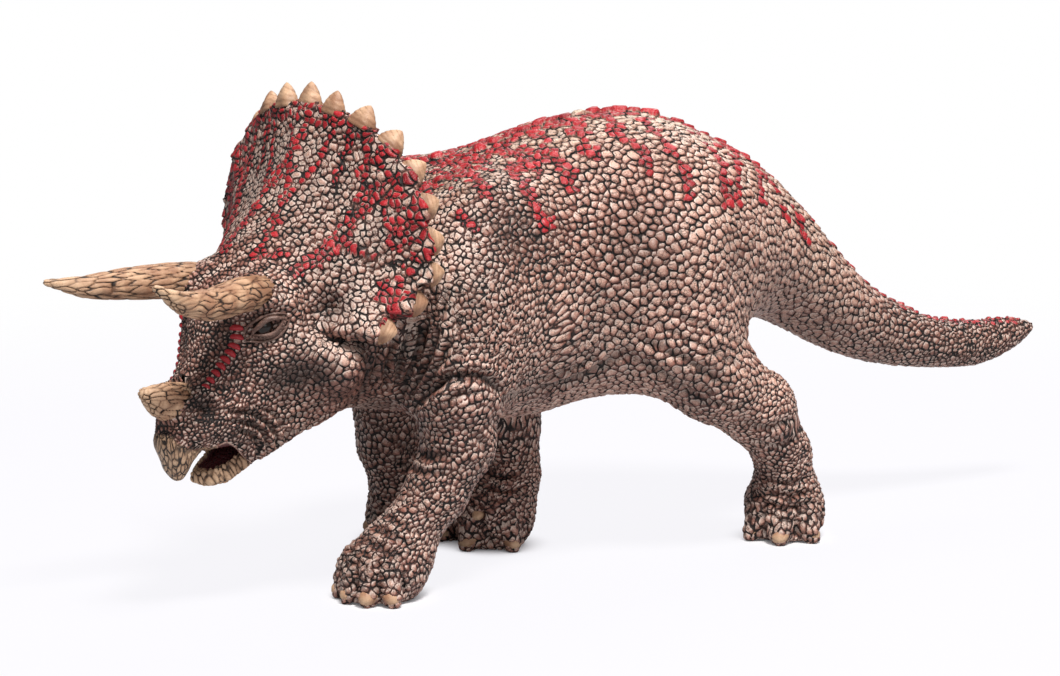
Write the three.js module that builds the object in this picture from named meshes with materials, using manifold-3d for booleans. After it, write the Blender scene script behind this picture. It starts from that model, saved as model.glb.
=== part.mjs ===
import * as THREE from 'three';
import Module from 'manifold-3d';

const wasm = await Module();
wasm.setup();

// A horned dinosaur figure, walking with its head low and turned a little to its left.
// Millimetres, +Z up. The ground is Z = 0, the head looks along -X and the figure's left side is -Y.

// Driving sizes of the body.
const bodyLength = 166; // from the neck, inside the head, to the tip of the tail
const backHeight = 80.6; // the top of the back above the ground
const bodyWidth = 50; // over the ribs
const tailSway = 6; // how far the tip of the tail swings to the figure's left
const legThickness = 12; // through the thinnest part of a leg
const soleDepth = 1; // how much of each foot's round underside is cut away flat
const footRadius = 7.2;
const hindFootShare = 0.93; // a hind foot against a front one
const footHeight = 5.6; // half the height of the foot's round form
const toeReach = 6.6; // from the middle of a foot to the middle of its nails
const nailDepth = 4.4;
const nailWidth = 3.7;
const nailHeight = 5.4; // of a whole nail, whose lower part the ground cuts off
const innerToeHeight = 7;
const innerToeLift = 6.4; // the middle of the toe that a hind foot holds up

// Driving sizes of the head, whose own frame starts at the top of the neck.
const headLength = 44; // from the neck to the front of the beak
const headWidth = 30; // over the cheeks
const headHeight = 36; // from the underside of the jaw to the brow
const headTurn = 12.7; // degrees to the figure's left
const frillWidth = 48;
const frillRise = 24; // from the widest level of the frill up to its edge
const frillDrop = 19.4; // how steeply its lower lobes run down
const frillThickness = 2.8; // at the edge
const frillRoot = 5.2; // its thickness where it leaves the skull
const frillHollow = 3.4; // how far its face is dished
const spikeLength = 4; // at the sides
const topSpikeLength = 5.8;
const spikeWidth = 5;
const spikeThickness = 2.6;
const spikeSweepShare = 0.75; // how far the side spikes lean back
const browHornLength = 28;
const browHornWidth = 6.3;
const browHornLifts = { left: 4.4, right: 1.6 }; // how far each horn's tip curves up from its root's line
const noseHornLength = 8;
const noseHornWidth = 7.4;
const hornRoot = 3.2; // the length of a horn that is set into the head
const eyeDiameter = 3.8;
const eyeStandout = 0.6; // how far the eyeball stands proud of the skin
const beakWidth = 7.6;

// Driving sizes of the jaw.
const jawLength = 19.8; // from the pin to the tip of the lower beak
const jawWidth = 10;
const jawHub = 3.6; // the radius of the jaw's round end
const jawPin = 1.2; // the radius of the pin
const jawPinGrip = 2; // how far each end of the pin goes into a cheek

// Driving sizes of the plugs that hold the mouldings together.
const neckPlugRadius = 7;
const neckPlugLength = 9;
const tailPlugRadius = 4.6;
const tailPlugLength = 8;
const legPlugRadius = 3;
const legPlugLength = 7;
const clearance = 0.3; // between any two neighbouring pieces
const overrun = 8; // how far a cutting shape reaches past what it cuts

// How finely the skins are divided.
const bodyPitch = 8.2;
const legPitch = 5.8;
const headPitch = 5.4;
const roundSteps = 12;
const plugSides = 6;

// Places on the body, as shares of its length, width and height.
const bodySize = new THREE.Vector3(bodyLength, bodyWidth, backHeight);
const place = (along, across, up) => new THREE.Vector3(along, across, up).multiply(bodySize);

// Sections of the trunk from neck to tail: along, top, bottom, half width.
const trunkShares = [
  [-0.361, 0.725, 0.409, 0.24],
  [-0.289, 0.794, 0.392, 0.31],
  [-0.217, 0.846, 0.367, 0.384],
  [-0.151, 0.898, 0.335, 0.44],
  [-0.06, 0.963, 0.326, 0.476],
  [0.03, 0.993, 0.37, 0.486],
  [0.108, 0.978, 0.414, 0.468],
  [0.181, 0.918, 0.469, 0.396],
  [0.241, 0.846, 0.486, 0.312],
  [0.289, 0.764, 0.447, 0.244],
  [0.337, 0.66, 0.395, 0.198],
  [0.386, 0.556, 0.354, 0.16],
  [0.44, 0.48, 0.328, 0.128],
  [0.5, 0.429, 0.313, 0.098],
  [0.554, 0.417, 0.31, 0.076],
  [0.59, 0.417, 0.336, 0.058],
  [0.608, 0.416, 0.354, 0.046],
  [0.62, 0.411, 0.37, 0.03],
  [0.626, 0.403, 0.384, 0.012],
];

// A curve through rows of a table, read at one place along it.
function follow(rows, column, at) {
  const last = rows.length - 1;
  const t = Math.min(Math.max(at, rows[0][0]), rows[last][0]);
  let i = 0;
  while (i < last - 1 && rows[i + 1][0] < t) i += 1;
  const slope = (k) => {
    const a = rows[Math.max(k - 1, 0)];
    const b = rows[Math.min(k + 1, last)];
    return (b[column] - a[column]) / (b[0] - a[0]);
  };
  const span = rows[i + 1][0] - rows[i][0];
  const s = (t - rows[i][0]) / span;
  const s2 = s * s;
  const s3 = s2 * s;
  return (2 * s3 - 3 * s2 + 1) * rows[i][column] + (s3 - 2 * s2 + s) * span * slope(i)
    + (3 * s2 - 2 * s3) * rows[i + 1][column] + (s3 - s2) * span * slope(i + 1);
}

// The trunk's section at one X: its middle, half height, half width and sideways swing.
function trunkSection(x) {
  const at = x / bodyLength;
  const top = follow(trunkShares, 1, at) * backHeight;
  const bottom = follow(trunkShares, 2, at) * backHeight;
  const swing = Math.max(0, at / trunkShares[trunkShares.length - 1][0]);
  return {
    middle: (top + bottom) / 2,
    rise: (top - bottom) / 2,
    half: follow(trunkShares, 3, at) * bodyWidth,
    sway: -tailSway * swing ** 3,
  };
}

// Distances to simple forms, below zero inside them. Smooth joins of these make the skins.
function eggDistance(x, y, z, middle, reach) {
  const a = (x - middle.x) / reach.x;
  const b = (y - middle.y) / reach.y;
  const c = (z - middle.z) / reach.z;
  const outward = Math.hypot(a, b, c);
  const slope = Math.hypot(a / reach.x, b / reach.y, c / reach.z);
  return slope > 0 ? outward * (outward - 1) / slope : -Math.min(reach.x, reach.y, reach.z);
}

function limbDistance(x, y, z, from, to, fromRadius, toRadius) {
  const dx = to.x - from.x;
  const dy = to.y - from.y;
  const dz = to.z - from.z;
  const along = ((x - from.x) * dx + (y - from.y) * dy + (z - from.z) * dz) / (dx * dx + dy * dy + dz * dz);
  const t = Math.min(Math.max(along, 0), 1);
  const away = Math.hypot(x - from.x - dx * t, y - from.y - dy * t, z - from.z - dz * t);
  return away - fromRadius - (toRadius - fromRadius) * t;
}

function trunkDistance(x, y, z) {
  const s = trunkSection(x);
  const b = (y - s.sway) / s.half;
  const c = (z - s.middle) / s.rise;
  const outward = Math.hypot(b, c);
  const slope = Math.hypot(b / s.half, c / s.rise);
  return slope > 0 ? outward * (outward - 1) / slope : -Math.min(s.half, s.rise);
}

function join(a, b, softness) {
  const h = Math.max(softness - Math.abs(a - b), 0) / softness;
  return Math.min(a, b) - h * h * softness / 4;
}

// The four legs. Each row of a leg is a joint: along, across, up and its thickness as a share of a leg's.
// The leg comes off at its cut joint, where the cut reaches as far along X as its share of a leg's thickness.
const legs = [
  {
    name: 'front_left_leg',
    jointShares: [
      [-0.169, -0.29, 0.62, 0.917],
      [-0.202, -0.35, 0.447, 0.608],
      [-0.201, -0.352, 0.325, 0.492],
      [-0.225, -0.332, 0.223, 0.425],
      [-0.261, -0.316, 0.13, 0.4],
      [-0.287, -0.31, 0.069, 0.45],
    ],
    cutJoint: 2,
    cutReachShare: 5,
    heading: 185,
    nailAngles: [-66, -33, 0, 33, 66],
  },
  {
    name: 'front_right_leg',
    jointShares: [
      [-0.169, 0.31, 0.62, 0.917],
      [-0.152, 0.38, 0.447, 0.583],
      [-0.154, 0.42, 0.323, 0.492],
      [-0.149, 0.44, 0.223, 0.45],
      [-0.132, 0.44, 0.136, 0.417],
      [-0.119, 0.44, 0.069, 0.433],
    ],
    cutJoint: 2,
    cutReachShare: 2.6,
    heading: 215,
    nailAngles: [-72, -36, 0, 36, 72],
  },
  {
    name: 'hind_left_leg',
    jointShares: [
      [0.078, -0.24, 0.658, 1.167],
      [0.078, -0.36, 0.502, 0.75],
      [0.12, -0.37, 0.407, 0.65],
      [0.183, -0.36, 0.319, 0.542],
      [0.224, -0.33, 0.202, 0.4],
      [0.232, -0.31, 0.112, 0.4],
      [0.232, -0.31, 0.065, 0.433],
    ],
    cutJoint: 2,
    cutReachShare: 5,
    heading: 228,
    nailAngles: [-53, 0, 53],
    innerToe: 120,
  },
  {
    name: 'hind_right_leg',
    jointShares: [
      [0.06, 0.24, 0.658, 1.167],
      [-0.006, 0.32, 0.502, 0.767],
      [-0.03, 0.284, 0.397, 0.617],
      [-0.034, 0.224, 0.267, 0.475],
      [-0.034, 0.184, 0.156, 0.392],
      [-0.057, 0.164, 0.094, 0.408],
      [-0.064, 0.164, 0.065, 0.433],
    ],
    cutJoint: 2,
    cutReachShare: 2.3,
    heading: 198,
    nailAngles: [-71, 0, 71],
    innerToe: 240,
  },
];
for (const leg of legs) {
  leg.joints = leg.jointShares.map(([a, b, c]) => place(a, b, c));
  leg.radii = leg.jointShares.map((row) => row[3] * legThickness);
  leg.foot = leg.joints[leg.joints.length - 1];
  leg.side = Math.sign(leg.foot.y);
  leg.footShare = leg.innerToe ? hindFootShare : 1;
}

// Muscles that stand out on both sides of the body: middle, then reach.
const muscleShares = [
  [[-0.157, 0.28, 0.66], [0.07, 0.16, 0.22]],
  [[0.072, 0.24, 0.635], [0.095, 0.22, 0.235]],
];
const muscles = muscleShares.map(([middle, reach]) => [place(...middle), place(...reach)]);
const legSoftness = legThickness * 0.5;
const muscleSoftness = legThickness;

function coreDistance(x, y, z) {
  let d = trunkDistance(x, y, z);
  for (const [middle, reach] of muscles) {
    d = join(d, eggDistance(x, Math.abs(y), z, middle, reach), muscleSoftness);
  }
  return d;
}

function limbsDistance(x, y, z, leg, lastJoint) {
  let d = Infinity;
  for (let i = 0; i < lastJoint; i += 1) {
    const part = limbDistance(x, y, z, leg.joints[i], leg.joints[i + 1], leg.radii[i], leg.radii[i + 1]);
    d = d === Infinity ? part : join(d, part, legSoftness / 2);
  }
  return d;
}

function legDistance(x, y, z, leg) {
  const pad = new THREE.Vector3(leg.foot.x, leg.foot.y, footHeight - soleDepth);
  const padRadius = footRadius * leg.footShare;
  const foot = eggDistance(x, y, z, pad, new THREE.Vector3(padRadius, padRadius, footHeight));
  const whole = join(limbsDistance(x, y, z, leg, leg.joints.length - 1), foot, legSoftness);
  return join(coreDistance(x, y, z), whole, legSoftness);
}

function torsoDistance(x, y, z) {
  const core = coreDistance(x, y, z);
  return legs.reduce((d, leg) => (
    Math.min(d, join(core, limbsDistance(x, y, z, leg, leg.cutJoint + 1), legSoftness))), core);
}

// A closed skin round a form, on a lattice of cube corners and cube middles. Each cell is cut into
// four-sided cells, which the surface crosses in one plain way, so the skin is always closed.
// A form that runs out of the lattice ends flat, just inside it.
function skin(form, low, high, pitch) {
  const distance = (x, y, z) => Math.max(
    form(x, y, z),
    low.x + pitch - x,
    low.y + pitch - y,
    low.z + pitch - z,
    x + pitch - high.x,
    y + pitch - high.y,
    z + pitch - high.z,
  );
  const counts = [high.x - low.x, high.y - low.y, high.z - low.z].map((size) => Math.ceil(size / pitch));
  const [nx, ny, nz] = counts;
  const cornerTotal = (nx + 1) * (ny + 1) * (nz + 1);
  const nodeTotal = cornerTotal + nx * ny * nz;
  const points = new Float64Array(nodeTotal * 3);
  const values = new Float64Array(nodeTotal);
  const corner = (i, j, k) => (k * (ny + 1) + j) * (nx + 1) + i;
  const middle = (i, j, k) => cornerTotal + (k * ny + j) * nx + i;
  const sample = (node, i, j, k) => {
    points[node * 3] = low.x + i * pitch;
    points[node * 3 + 1] = low.y + j * pitch;
    points[node * 3 + 2] = low.z + k * pitch;
    values[node] = distance(points[node * 3], points[node * 3 + 1], points[node * 3 + 2]);
  };
  for (let k = 0; k <= nz; k += 1) {
    for (let j = 0; j <= ny; j += 1) {
      for (let i = 0; i <= nx; i += 1) {
        sample(corner(i, j, k), i, j, k);
        if (i < nx && j < ny && k < nz) sample(middle(i, j, k), i + 0.5, j + 0.5, k + 0.5);
      }
    }
  }
  const vertices = [];
  const triangles = [];
  const found = new Map();
  const edgeMarginShare = 0.06;
  const rootSteps = 6;
  const crossing = (a, b) => {
    const key = Math.min(a, b) * nodeTotal + Math.max(a, b);
    if (found.has(key)) return found.get(key);
    let inner = 0;
    let outer = 1;
    const [from, to] = values[a] < 0 ? [a, b] : [b, a];
    const at = (t, axis) => points[from * 3 + axis] + (points[to * 3 + axis] - points[from * 3 + axis]) * t;
    for (let step = 0; step < rootSteps; step += 1) {
      const t = (inner + outer) / 2;
      if (distance(at(t, 0), at(t, 1), at(t, 2)) < 0) inner = t;
      else outer = t;
    }
    const t = Math.min(Math.max((inner + outer) / 2, edgeMarginShare), 1 - edgeMarginShare);
    vertices.push(new THREE.Vector3(at(t, 0), at(t, 1), at(t, 2)));
    found.set(key, vertices.length - 1);
    return vertices.length - 1;
  };
  const face = (a, b, c, outward) => {
    const normal = vertices[b].clone().sub(vertices[a]).cross(vertices[c].clone().sub(vertices[a]));
    triangles.push(normal.dot(outward) > 0 ? [a, b, c] : [a, c, b]);
  };
  const node = (n) => new THREE.Vector3(points[n * 3], points[n * 3 + 1], points[n * 3 + 2]);
  const cell = (nodes) => {
    const inside = nodes.filter((n) => values[n] < 0);
    const outside = nodes.filter((n) => values[n] >= 0);
    if (!inside.length || !outside.length) return;
    const total = (list) => list.reduce((sum, n) => sum.add(node(n)), new THREE.Vector3());
    const centre = (list) => total(list).divideScalar(list.length);
    const outward = centre(outside).sub(centre(inside));
    if (inside.length === 2) {
      const [p, q] = inside;
      const [r, s] = outside;
      const ring = [crossing(p, r), crossing(p, s), crossing(q, s), crossing(q, r)];
      const [a, b, c, d] = ring;
      if (vertices[a].distanceTo(vertices[c]) < vertices[b].distanceTo(vertices[d])) {
        face(a, b, c, outward);
        face(a, c, d, outward);
      } else {
        face(a, b, d, outward);
        face(b, c, d, outward);
      }
      return;
    }
    const [lone] = inside.length === 1 ? inside : outside;
    const others = nodes.filter((n) => n !== lone);
    face(...others.map((n) => crossing(lone, n)), outward);
  };
  const steps = [[1, 0, 0], [0, 1, 0], [0, 0, 1]];
  for (let axis = 0; axis < 3; axis += 1) {
    const step = steps[axis];
    const u = steps[(axis + 1) % 3];
    const v = steps[(axis + 2) % 3];
    for (let k = step[2]; k < nz; k += 1) {
      for (let j = step[1]; j < ny; j += 1) {
        for (let i = step[0]; i < nx; i += 1) {
          const ring = [[0, 0], [1, 0], [1, 1], [0, 1]].map(([a, b]) => corner(
            i + u[0] * a + v[0] * b,
            j + u[1] * a + v[1] * b,
            k + u[2] * a + v[2] * b,
          ));
          const ends = [middle(i - step[0], j - step[1], k - step[2]), middle(i, j, k)];
          ring.forEach((n, side) => cell([...ends, n, ring[(side + 1) % ring.length]]));
        }
      }
    }
  }
  return even(vertices, triangles, distance, pitch);
}

// Spreads the skin's points evenly over the form, which takes out thin triangles.
function even(vertices, triangles, distance, pitch) {
  const passes = 3;
  const probe = pitch / 50;
  const around = vertices.map(() => new Set());
  for (const [a, b, c] of triangles) {
    around[a].add(b).add(c);
    around[b].add(a).add(c);
    around[c].add(a).add(b);
  }
  const settle = (p) => {
    const here = distance(p.x, p.y, p.z);
    const slope = new THREE.Vector3(
      distance(p.x + probe, p.y, p.z) - here,
      distance(p.x, p.y + probe, p.z) - here,
      distance(p.x, p.y, p.z + probe) - here,
    ).divideScalar(probe);
    p.addScaledVector(slope, -here / Math.max(slope.lengthSq(), 0.25));
  };
  for (let pass = 0; pass < passes; pass += 1) {
    const moved = vertices.map((p, i) => {
      const mean = new THREE.Vector3();
      for (const n of around[i]) mean.add(vertices[n]);
      mean.divideScalar(around[i].size);
      const next = p.clone().lerp(mean, 0.5);
      settle(next);
      settle(next);
      return next;
    });
    moved.forEach((p, i) => vertices[i].copy(p));
  }
  return solid(vertices, triangles);
}

function solid(vertices, triangles) {
  const vertProperties = new Float32Array(vertices.flatMap((p) => [p.x, p.y, p.z]));
  const triVerts = new Uint32Array(triangles.flat());
  return new wasm.Manifold(new wasm.Mesh({ numProp: 3, vertProperties, triVerts }));
}

// A closed solid through a row of rings. A ring of one point closes to a tip.
function loft(rings) {
  const vertices = rings.flat();
  const triangles = [];
  const starts = [];
  rings.reduce((at, ring) => {
    starts.push(at);
    return at + ring.length;
  }, 0);
  for (let i = 0; i + 1 < rings.length; i += 1) {
    const sides = Math.max(rings[i].length, rings[i + 1].length);
    for (let k = 0; k < sides; k += 1) {
      const next = (k + 1) % sides;
      const a = starts[i];
      const b = starts[i + 1];
      if (rings[i].length > 1) triangles.push([a + k, a + next, b + (rings[i + 1].length > 1 ? k : 0)]);
      if (rings[i + 1].length > 1) triangles.push([a + (rings[i].length > 1 ? next : 0), b + next, b + k]);
    }
  }
  const cap = (ring, start, flip) => {
    if (ring.length === 1) return;
    const hub = vertices.length;
    vertices.push(ring.reduce((sum, p) => sum.add(p), new THREE.Vector3()).divideScalar(ring.length));
    for (let k = 0; k < ring.length; k += 1) {
      const next = (k + 1) % ring.length;
      triangles.push(flip ? [hub, start + next, start + k] : [hub, start + k, start + next]);
    }
  };
  cap(rings[0], starts[0], true);
  cap(rings[rings.length - 1], starts[starts.length - 1], false);
  return outward(vertices, triangles);
}

// Turns every face round where a solid came out inside out.
function outward(vertices, triangles) {
  const volume = triangles.reduce((sum, [a, b, c]) => (
    sum + vertices[a].dot(new THREE.Vector3().crossVectors(vertices[b], vertices[c]))), 0);
  return solid(vertices, volume > 0 ? triangles : triangles.map(([a, b, c]) => [a, c, b]));
}

// A round tapering form along a path, flattened to a share of its width where that is given.
function taper(path, radii, sides, up, flatShare = 1) {
  return loft(path.map((p, i) => {
    if (radii[i] === 0) return [p];
    const ahead = path[Math.min(i + 1, path.length - 1)].clone().sub(path[Math.max(i - 1, 0)]).normalize();
    const across = new THREE.Vector3().crossVectors(ahead, up).normalize();
    const over = new THREE.Vector3().crossVectors(across, ahead);
    return Array.from({ length: sides }, (_, k) => {
      const turn = (k / sides) * Math.PI * 2;
      return p.clone()
        .addScaledVector(across, Math.cos(turn) * radii[i])
        .addScaledVector(over, Math.sin(turn) * radii[i] * flatShare);
    });
  }));
}

function rod(from, direction, length, radius, sides) {
  const way = direction.clone().normalize();
  const up = Math.abs(way.z) < 0.9 ? new THREE.Vector3(0, 0, 1) : new THREE.Vector3(1, 0, 0);
  return taper([from, from.clone().addScaledVector(way, length)], [radius, radius], sides, up);
}

// A block that holds everything past a plane, out to a given reach, and along X to a reach of its own.
function beyond(point, normal, reach, reachAlong = reach) {
  const way = normal.clone().normalize();
  const geometry = new THREE.BoxGeometry(reachAlong, reach, reach);
  geometry.translate(0, 0, reach / 2);
  geometry.applyQuaternion(new THREE.Quaternion().setFromUnitVectors(new THREE.Vector3(0, 0, 1), way));
  geometry.translate(point.x, point.y, point.z);
  return fromGeometry(geometry);
}

function fromGeometry(geometry) {
  const source = geometry.index ? geometry.toNonIndexed() : geometry;
  const where = source.getAttribute('position');
  const vertices = [];
  const seen = new Map();
  const order = Array.from({ length: where.count }, (_, i) => {
    const p = new THREE.Vector3().fromBufferAttribute(where, i);
    const key = p.toArray().map((v) => Math.round(v * 1e4)).join(' ');
    if (!seen.has(key)) {
      seen.set(key, vertices.length);
      vertices.push(p);
    }
    return seen.get(key);
  });
  const triangles = [];
  for (let i = 0; i < order.length; i += 3) triangles.push(order.slice(i, i + 3));
  return solid(vertices, triangles);
}

function moved(part, matrix) {
  const mesh = part.getMesh();
  const vertices = [];
  for (let i = 0; i < mesh.vertProperties.length; i += mesh.numProp) {
    vertices.push(new THREE.Vector3().fromArray(mesh.vertProperties, i).applyMatrix4(matrix));
  }
  const triangles = [];
  for (let i = 0; i < mesh.triVerts.length; i += 3) triangles.push(Array.from(mesh.triVerts.slice(i, i + 3)));
  return solid(vertices, triangles);
}

// The head's own frame: -X forward, and its start at the top of the neck.
const headMatrix = new THREE.Matrix4()
  .makeRotationZ(THREE.MathUtils.degToRad(headTurn))
  .setPosition(place(-0.287, 0, 0.5655));
const headInverse = headMatrix.clone().invert();
const headSize = new THREE.Vector3(headLength, headWidth, headHeight);
const headPlace = (along, across, up) => new THREE.Vector3(along, across, up).multiply(headSize);

// The masses of the skull. Where the second is given, the form runs from the first place to it.
const skullShares = [
  { at: [-0.41, 0, 0.06], reach: [0.34, 0.36, 0.34] },
  { at: [-0.3, 0, 0.28], reach: [0.22, 0.27, 0.2] },
  { at: [-0.5, 0, -0.06], to: [-0.78, 0, -0.26], radii: [0.265, 0.18] },
  { at: [-0.45, 0.25, -0.02], to: [-0.3, 0.41, -0.1], radii: [0.2, 0.11] },
  { at: [-0.32, 0.13, -0.24], to: [-0.56, 0.11, -0.46], radii: [0.22, 0.135] },
  { at: [-0.53, 0.24, 0.27], reach: [0.13, 0.16, 0.13] },
  { at: [-0.62, 0.1, -0.3], to: [-0.8, 0.04, -0.36], radii: [0.17, 0.11] },
  { at: [-0.34, 0, 0.4], reach: [0.18, 0.26, 0.2] },
];
const skull = skullShares.map(({ at, to, reach, radii }) => ({
  at: headPlace(...at),
  to: to && headPlace(...to),
  reach: reach && headPlace(...reach),
  radii: radii && radii.map((share) => share * headWidth),
}));
const skullSoftness = headWidth * 0.16;
const neckSoftness = headWidth * 0.3;

function skullDistance(x, y, z) {
  let d = Infinity;
  for (const mass of skull) {
    const part = mass.to
      ? limbDistance(x, Math.abs(y), z, mass.at, mass.to, ...mass.radii)
      : eggDistance(x, Math.abs(y), z, mass.at, mass.reach);
    d = d === Infinity ? part : join(d, part, skullSoftness);
  }
  return d;
}

function headDistance(x, y, z) {
  const onBody = new THREE.Vector3(x, y, z).applyMatrix4(headMatrix);
  const front = -headLength * 0.16;
  const neck = Math.max(coreDistance(onBody.x, onBody.y, onBody.z), front - x);
  return join(skullDistance(x, y, z), neck, neckSoftness);
}

// The place where a line from inside the skull comes out of it, and then further by a given length.
function skullSurface(inside, way, further) {
  let inner = 0;
  let outer = headLength;
  const halvings = 24;
  for (let step = 0; step < halvings; step += 1) {
    const t = (inner + outer) / 2;
    const p = inside.clone().addScaledVector(way, t);
    if (skullDistance(p.x, p.y, p.z) < 0) inner = t;
    else outer = t;
  }
  return inside.clone().addScaledVector(way, inner + further);
}

// The frill: a dished plate from the skull out to its edge, thinner towards the edge.
const frillStart = -48; // degrees below level at which each lobe runs into the cheek
const spikeStart = -35; // degrees below level of the lowest spikes
const frillColumns = 34;
const frillRows = 5;
const frillRim = (angle) => {
  const turn = THREE.MathUtils.degToRad(angle);
  const up = Math.sin(turn);
  const curlShare = up > 0 ? 0.144 * up ** 4 : 0.522 * up ** 2;
  return new THREE.Vector3(
    -headLength * (0.074 * Math.abs(Math.cos(turn)) - 0.006 + curlShare),
    Math.cos(turn) * frillWidth / 2,
    headHeight * 0.43 + up * (up > 0 ? frillRise : frillDrop),
  );
};
const frillBase = (angle) => {
  const turn = THREE.MathUtils.degToRad(angle);
  return headPlace(-0.5 + 0.04 * Math.sin(turn), Math.cos(turn) * 0.2, 0.3 + 0.14 * Math.sin(turn));
};
// How far out the plate reaches at an angle: its ends are drawn in, so that each lobe closes in a round end.
const lobeEnd = 12; // degrees over which that happens
const frillReach = (angle) => {
  const fromEnd = Math.min(angle - frillStart, 180 - frillStart - angle);
  const t = Math.min(Math.max(fromEnd / lobeEnd, 0), 1);
  return 0.5 + 0.5 * Math.sin((t * Math.PI) / 2);
};
function frillPoint(angle, rowShare) {
  const share = rowShare * frillReach(angle);
  const p = frillBase(angle).lerp(frillRim(angle), share);
  p.x += frillHollow * 4 * share * (1 - share);
  return p;
}
function frillNormal(angle, share) {
  const step = 0.01;
  const along = frillPoint(angle + 1, share).sub(frillPoint(angle - 1, share));
  const out = frillPoint(angle, share + step).sub(frillPoint(angle, share - step));
  return along.cross(out).normalize();
}
function makeFrillPlate() {
  const face = (column, row, side) => {
    const angle = frillStart + (column / frillColumns) * (180 - 2 * frillStart);
    const share = row / frillRows;
    const thickness = THREE.MathUtils.lerp(frillRoot, frillThickness, share);
    const normal = frillNormal(angle, Math.max(share, 0.1));
    return frillPoint(angle, share).addScaledVector(normal, side * thickness / 2);
  };
  const rings = [];
  for (let column = 0; column <= frillColumns; column += 1) {
    const front = Array.from({ length: frillRows + 1 }, (_, row) => face(column, row, 1));
    const back = Array.from({ length: frillRows + 1 }, (_, row) => face(column, frillRows - row, -1));
    rings.push([...front, ...back]);
  }
  return loft(rings);
}
const spikeCount = 19;
function makeSpike(index) {
  const angle = spikeStart + (index / (spikeCount - 1)) * (180 - 2 * spikeStart);
  const turn = THREE.MathUtils.degToRad(angle);
  const rim = frillRim(angle);
  const out = rim.clone().sub(frillPoint(angle, 0.9)).normalize();
  out.x += spikeSweepShare * Math.cos(turn) ** 2;
  out.normalize();
  const across = frillNormal(angle, 1);
  const length = THREE.MathUtils.lerp(spikeLength, topSpikeLength, Math.max(Math.sin(turn), 0));
  const path = [0.15, 0.7, 1].map((share) => rim.clone().addScaledVector(out, share * length));
  path.unshift(frillPoint(angle, 0.92));
  const widths = [1, 1, 0.55, 0].map((share) => share * spikeWidth / 2);
  return taper(path, widths, 6, across, spikeThickness / spikeWidth);
}

// The horns, each with a root that is set into the head.
const hornRows = 7;
function hornPath(root, direction, length, lift, extra) {
  const way = direction.clone().normalize();
  const path = [root.clone().addScaledVector(way, -hornRoot - extra)];
  for (let i = 0; i <= hornRows; i += 1) {
    const share = i / hornRows;
    const p = root.clone().addScaledVector(way, share * length);
    p.z += lift * share ** 2.4;
    path.push(p);
  }
  return path;
}
function makeHorn(root, direction, length, width, lift, fullness, extra = 0) {
  const path = hornPath(root, direction, length, lift, extra);
  const radii = path.map((_, i) => {
    const share = Math.max(i - 1, 0) / hornRows;
    return i === path.length - 1 ? 0 : (width / 2) * (1 - share ** fullness) ** 0.75 + extra;
  });
  return taper(path, radii, roundSteps, new THREE.Vector3(0, 0, 1));
}
const sides = [['left', -1], ['right', 1]];
const browHorns = sides.map(([side, sign]) => {
  const way = new THREE.Vector3(-1, sign * 0.22, 0.02).normalize();
  const inside = headPlace(-0.5, sign * 0.25, 0.3);
  const root = skullSurface(inside, way, -hornRoot / 2);
  const make = (extra) => makeHorn(root, way, browHornLength, browHornWidth, browHornLifts[side], 2.3, extra);
  return { side, solid: make(0), socket: make(clearance) };
});
const noseHorn = (() => {
  const way = new THREE.Vector3(-1, 0, 0.1).normalize();
  const inside = headPlace(-0.72, 0, -0.21);
  const root = skullSurface(inside, way, -hornRoot / 2);
  const make = (extra) => makeHorn(root, way, noseHornLength, noseHornWidth, 0, 1.8, extra);
  return { solid: make(0), socket: make(clearance) };
})();

function ball(centre, radius) {
  const geometry = new THREE.SphereGeometry(radius, roundSteps, roundSteps / 2);
  geometry.translate(centre.x, centre.y, centre.z);
  return fromGeometry(geometry);
}
const eyes = sides.map(([side, sign]) => {
  const inside = headPlace(-0.59, 0, 0.148);
  const way = new THREE.Vector3(0, sign, 0);
  const centre = skullSurface(inside, way, eyeStandout - eyeDiameter / 2);
  return { side, solid: ball(centre, eyeDiameter / 2), socket: ball(centre, eyeDiameter / 2 + clearance) };
});

// The upper beak, hooked down in front of the mouth.
const beakShares = [
  [-0.78, -0.18, 1.15],
  [-0.86, -0.3, 0.98],
  [-0.895, -0.42, 1],
  [-0.875, -0.53, 0.7],
  [-0.865, -0.6, 0.22],
];
function makeBeak() {
  const path = beakShares.map(([along, up]) => headPlace(along, 0, up));
  const radii = beakShares.map((row) => row[2] * beakWidth / 2);
  return taper(path, radii, roundSteps, new THREE.Vector3(0, 1, 0), 1);
}

// The lower jaw turns on a pin through its round end, between the cheeks.
const pivot = headPlace(-0.32, 0, -0.335);
const jawPinHalf = jawWidth / 2 + clearance + jawPinGrip; // half the pin's length
const jawShares = [
  [0, 0.165, -0.165, 1],
  [0.3, 0.05, -0.3, 1],
  [0.55, -0.16, -0.48, 0.98],
  [0.72, -0.28, -0.57, 0.8],
  [0.88, -0.37, -0.58, 0.55],
  [1, -0.44, -0.53, 0.2],
];
function jawRing([along, top, bottom, width], margin = 0) {
  const offset = new THREE.Vector3(-along, 0, (top + bottom) / 2).multiplyScalar(jawLength);
  const middle = pivot.clone().add(offset);
  const rise = ((top - bottom) / 2) * jawLength + margin;
  const half = (width * jawWidth) / 2 + margin;
  return Array.from({ length: roundSteps }, (_, k) => {
    const turn = (k / roundSteps) * Math.PI * 2;
    const square = 0.75;
    const bend = (v) => Math.sign(v) * Math.abs(v) ** square;
    return middle.clone().add(new THREE.Vector3(0, bend(Math.cos(turn)) * half, bend(Math.sin(turn)) * rise));
  });
}
const acrossHead = new THREE.Vector3(0, 1, 0);
function crossRod(centre, halfLength, radius, steps) {
  const end = centre.clone().addScaledVector(acrossHead, -halfLength);
  return rod(end, acrossHead, 2 * halfLength, radius, steps);
}
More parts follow.
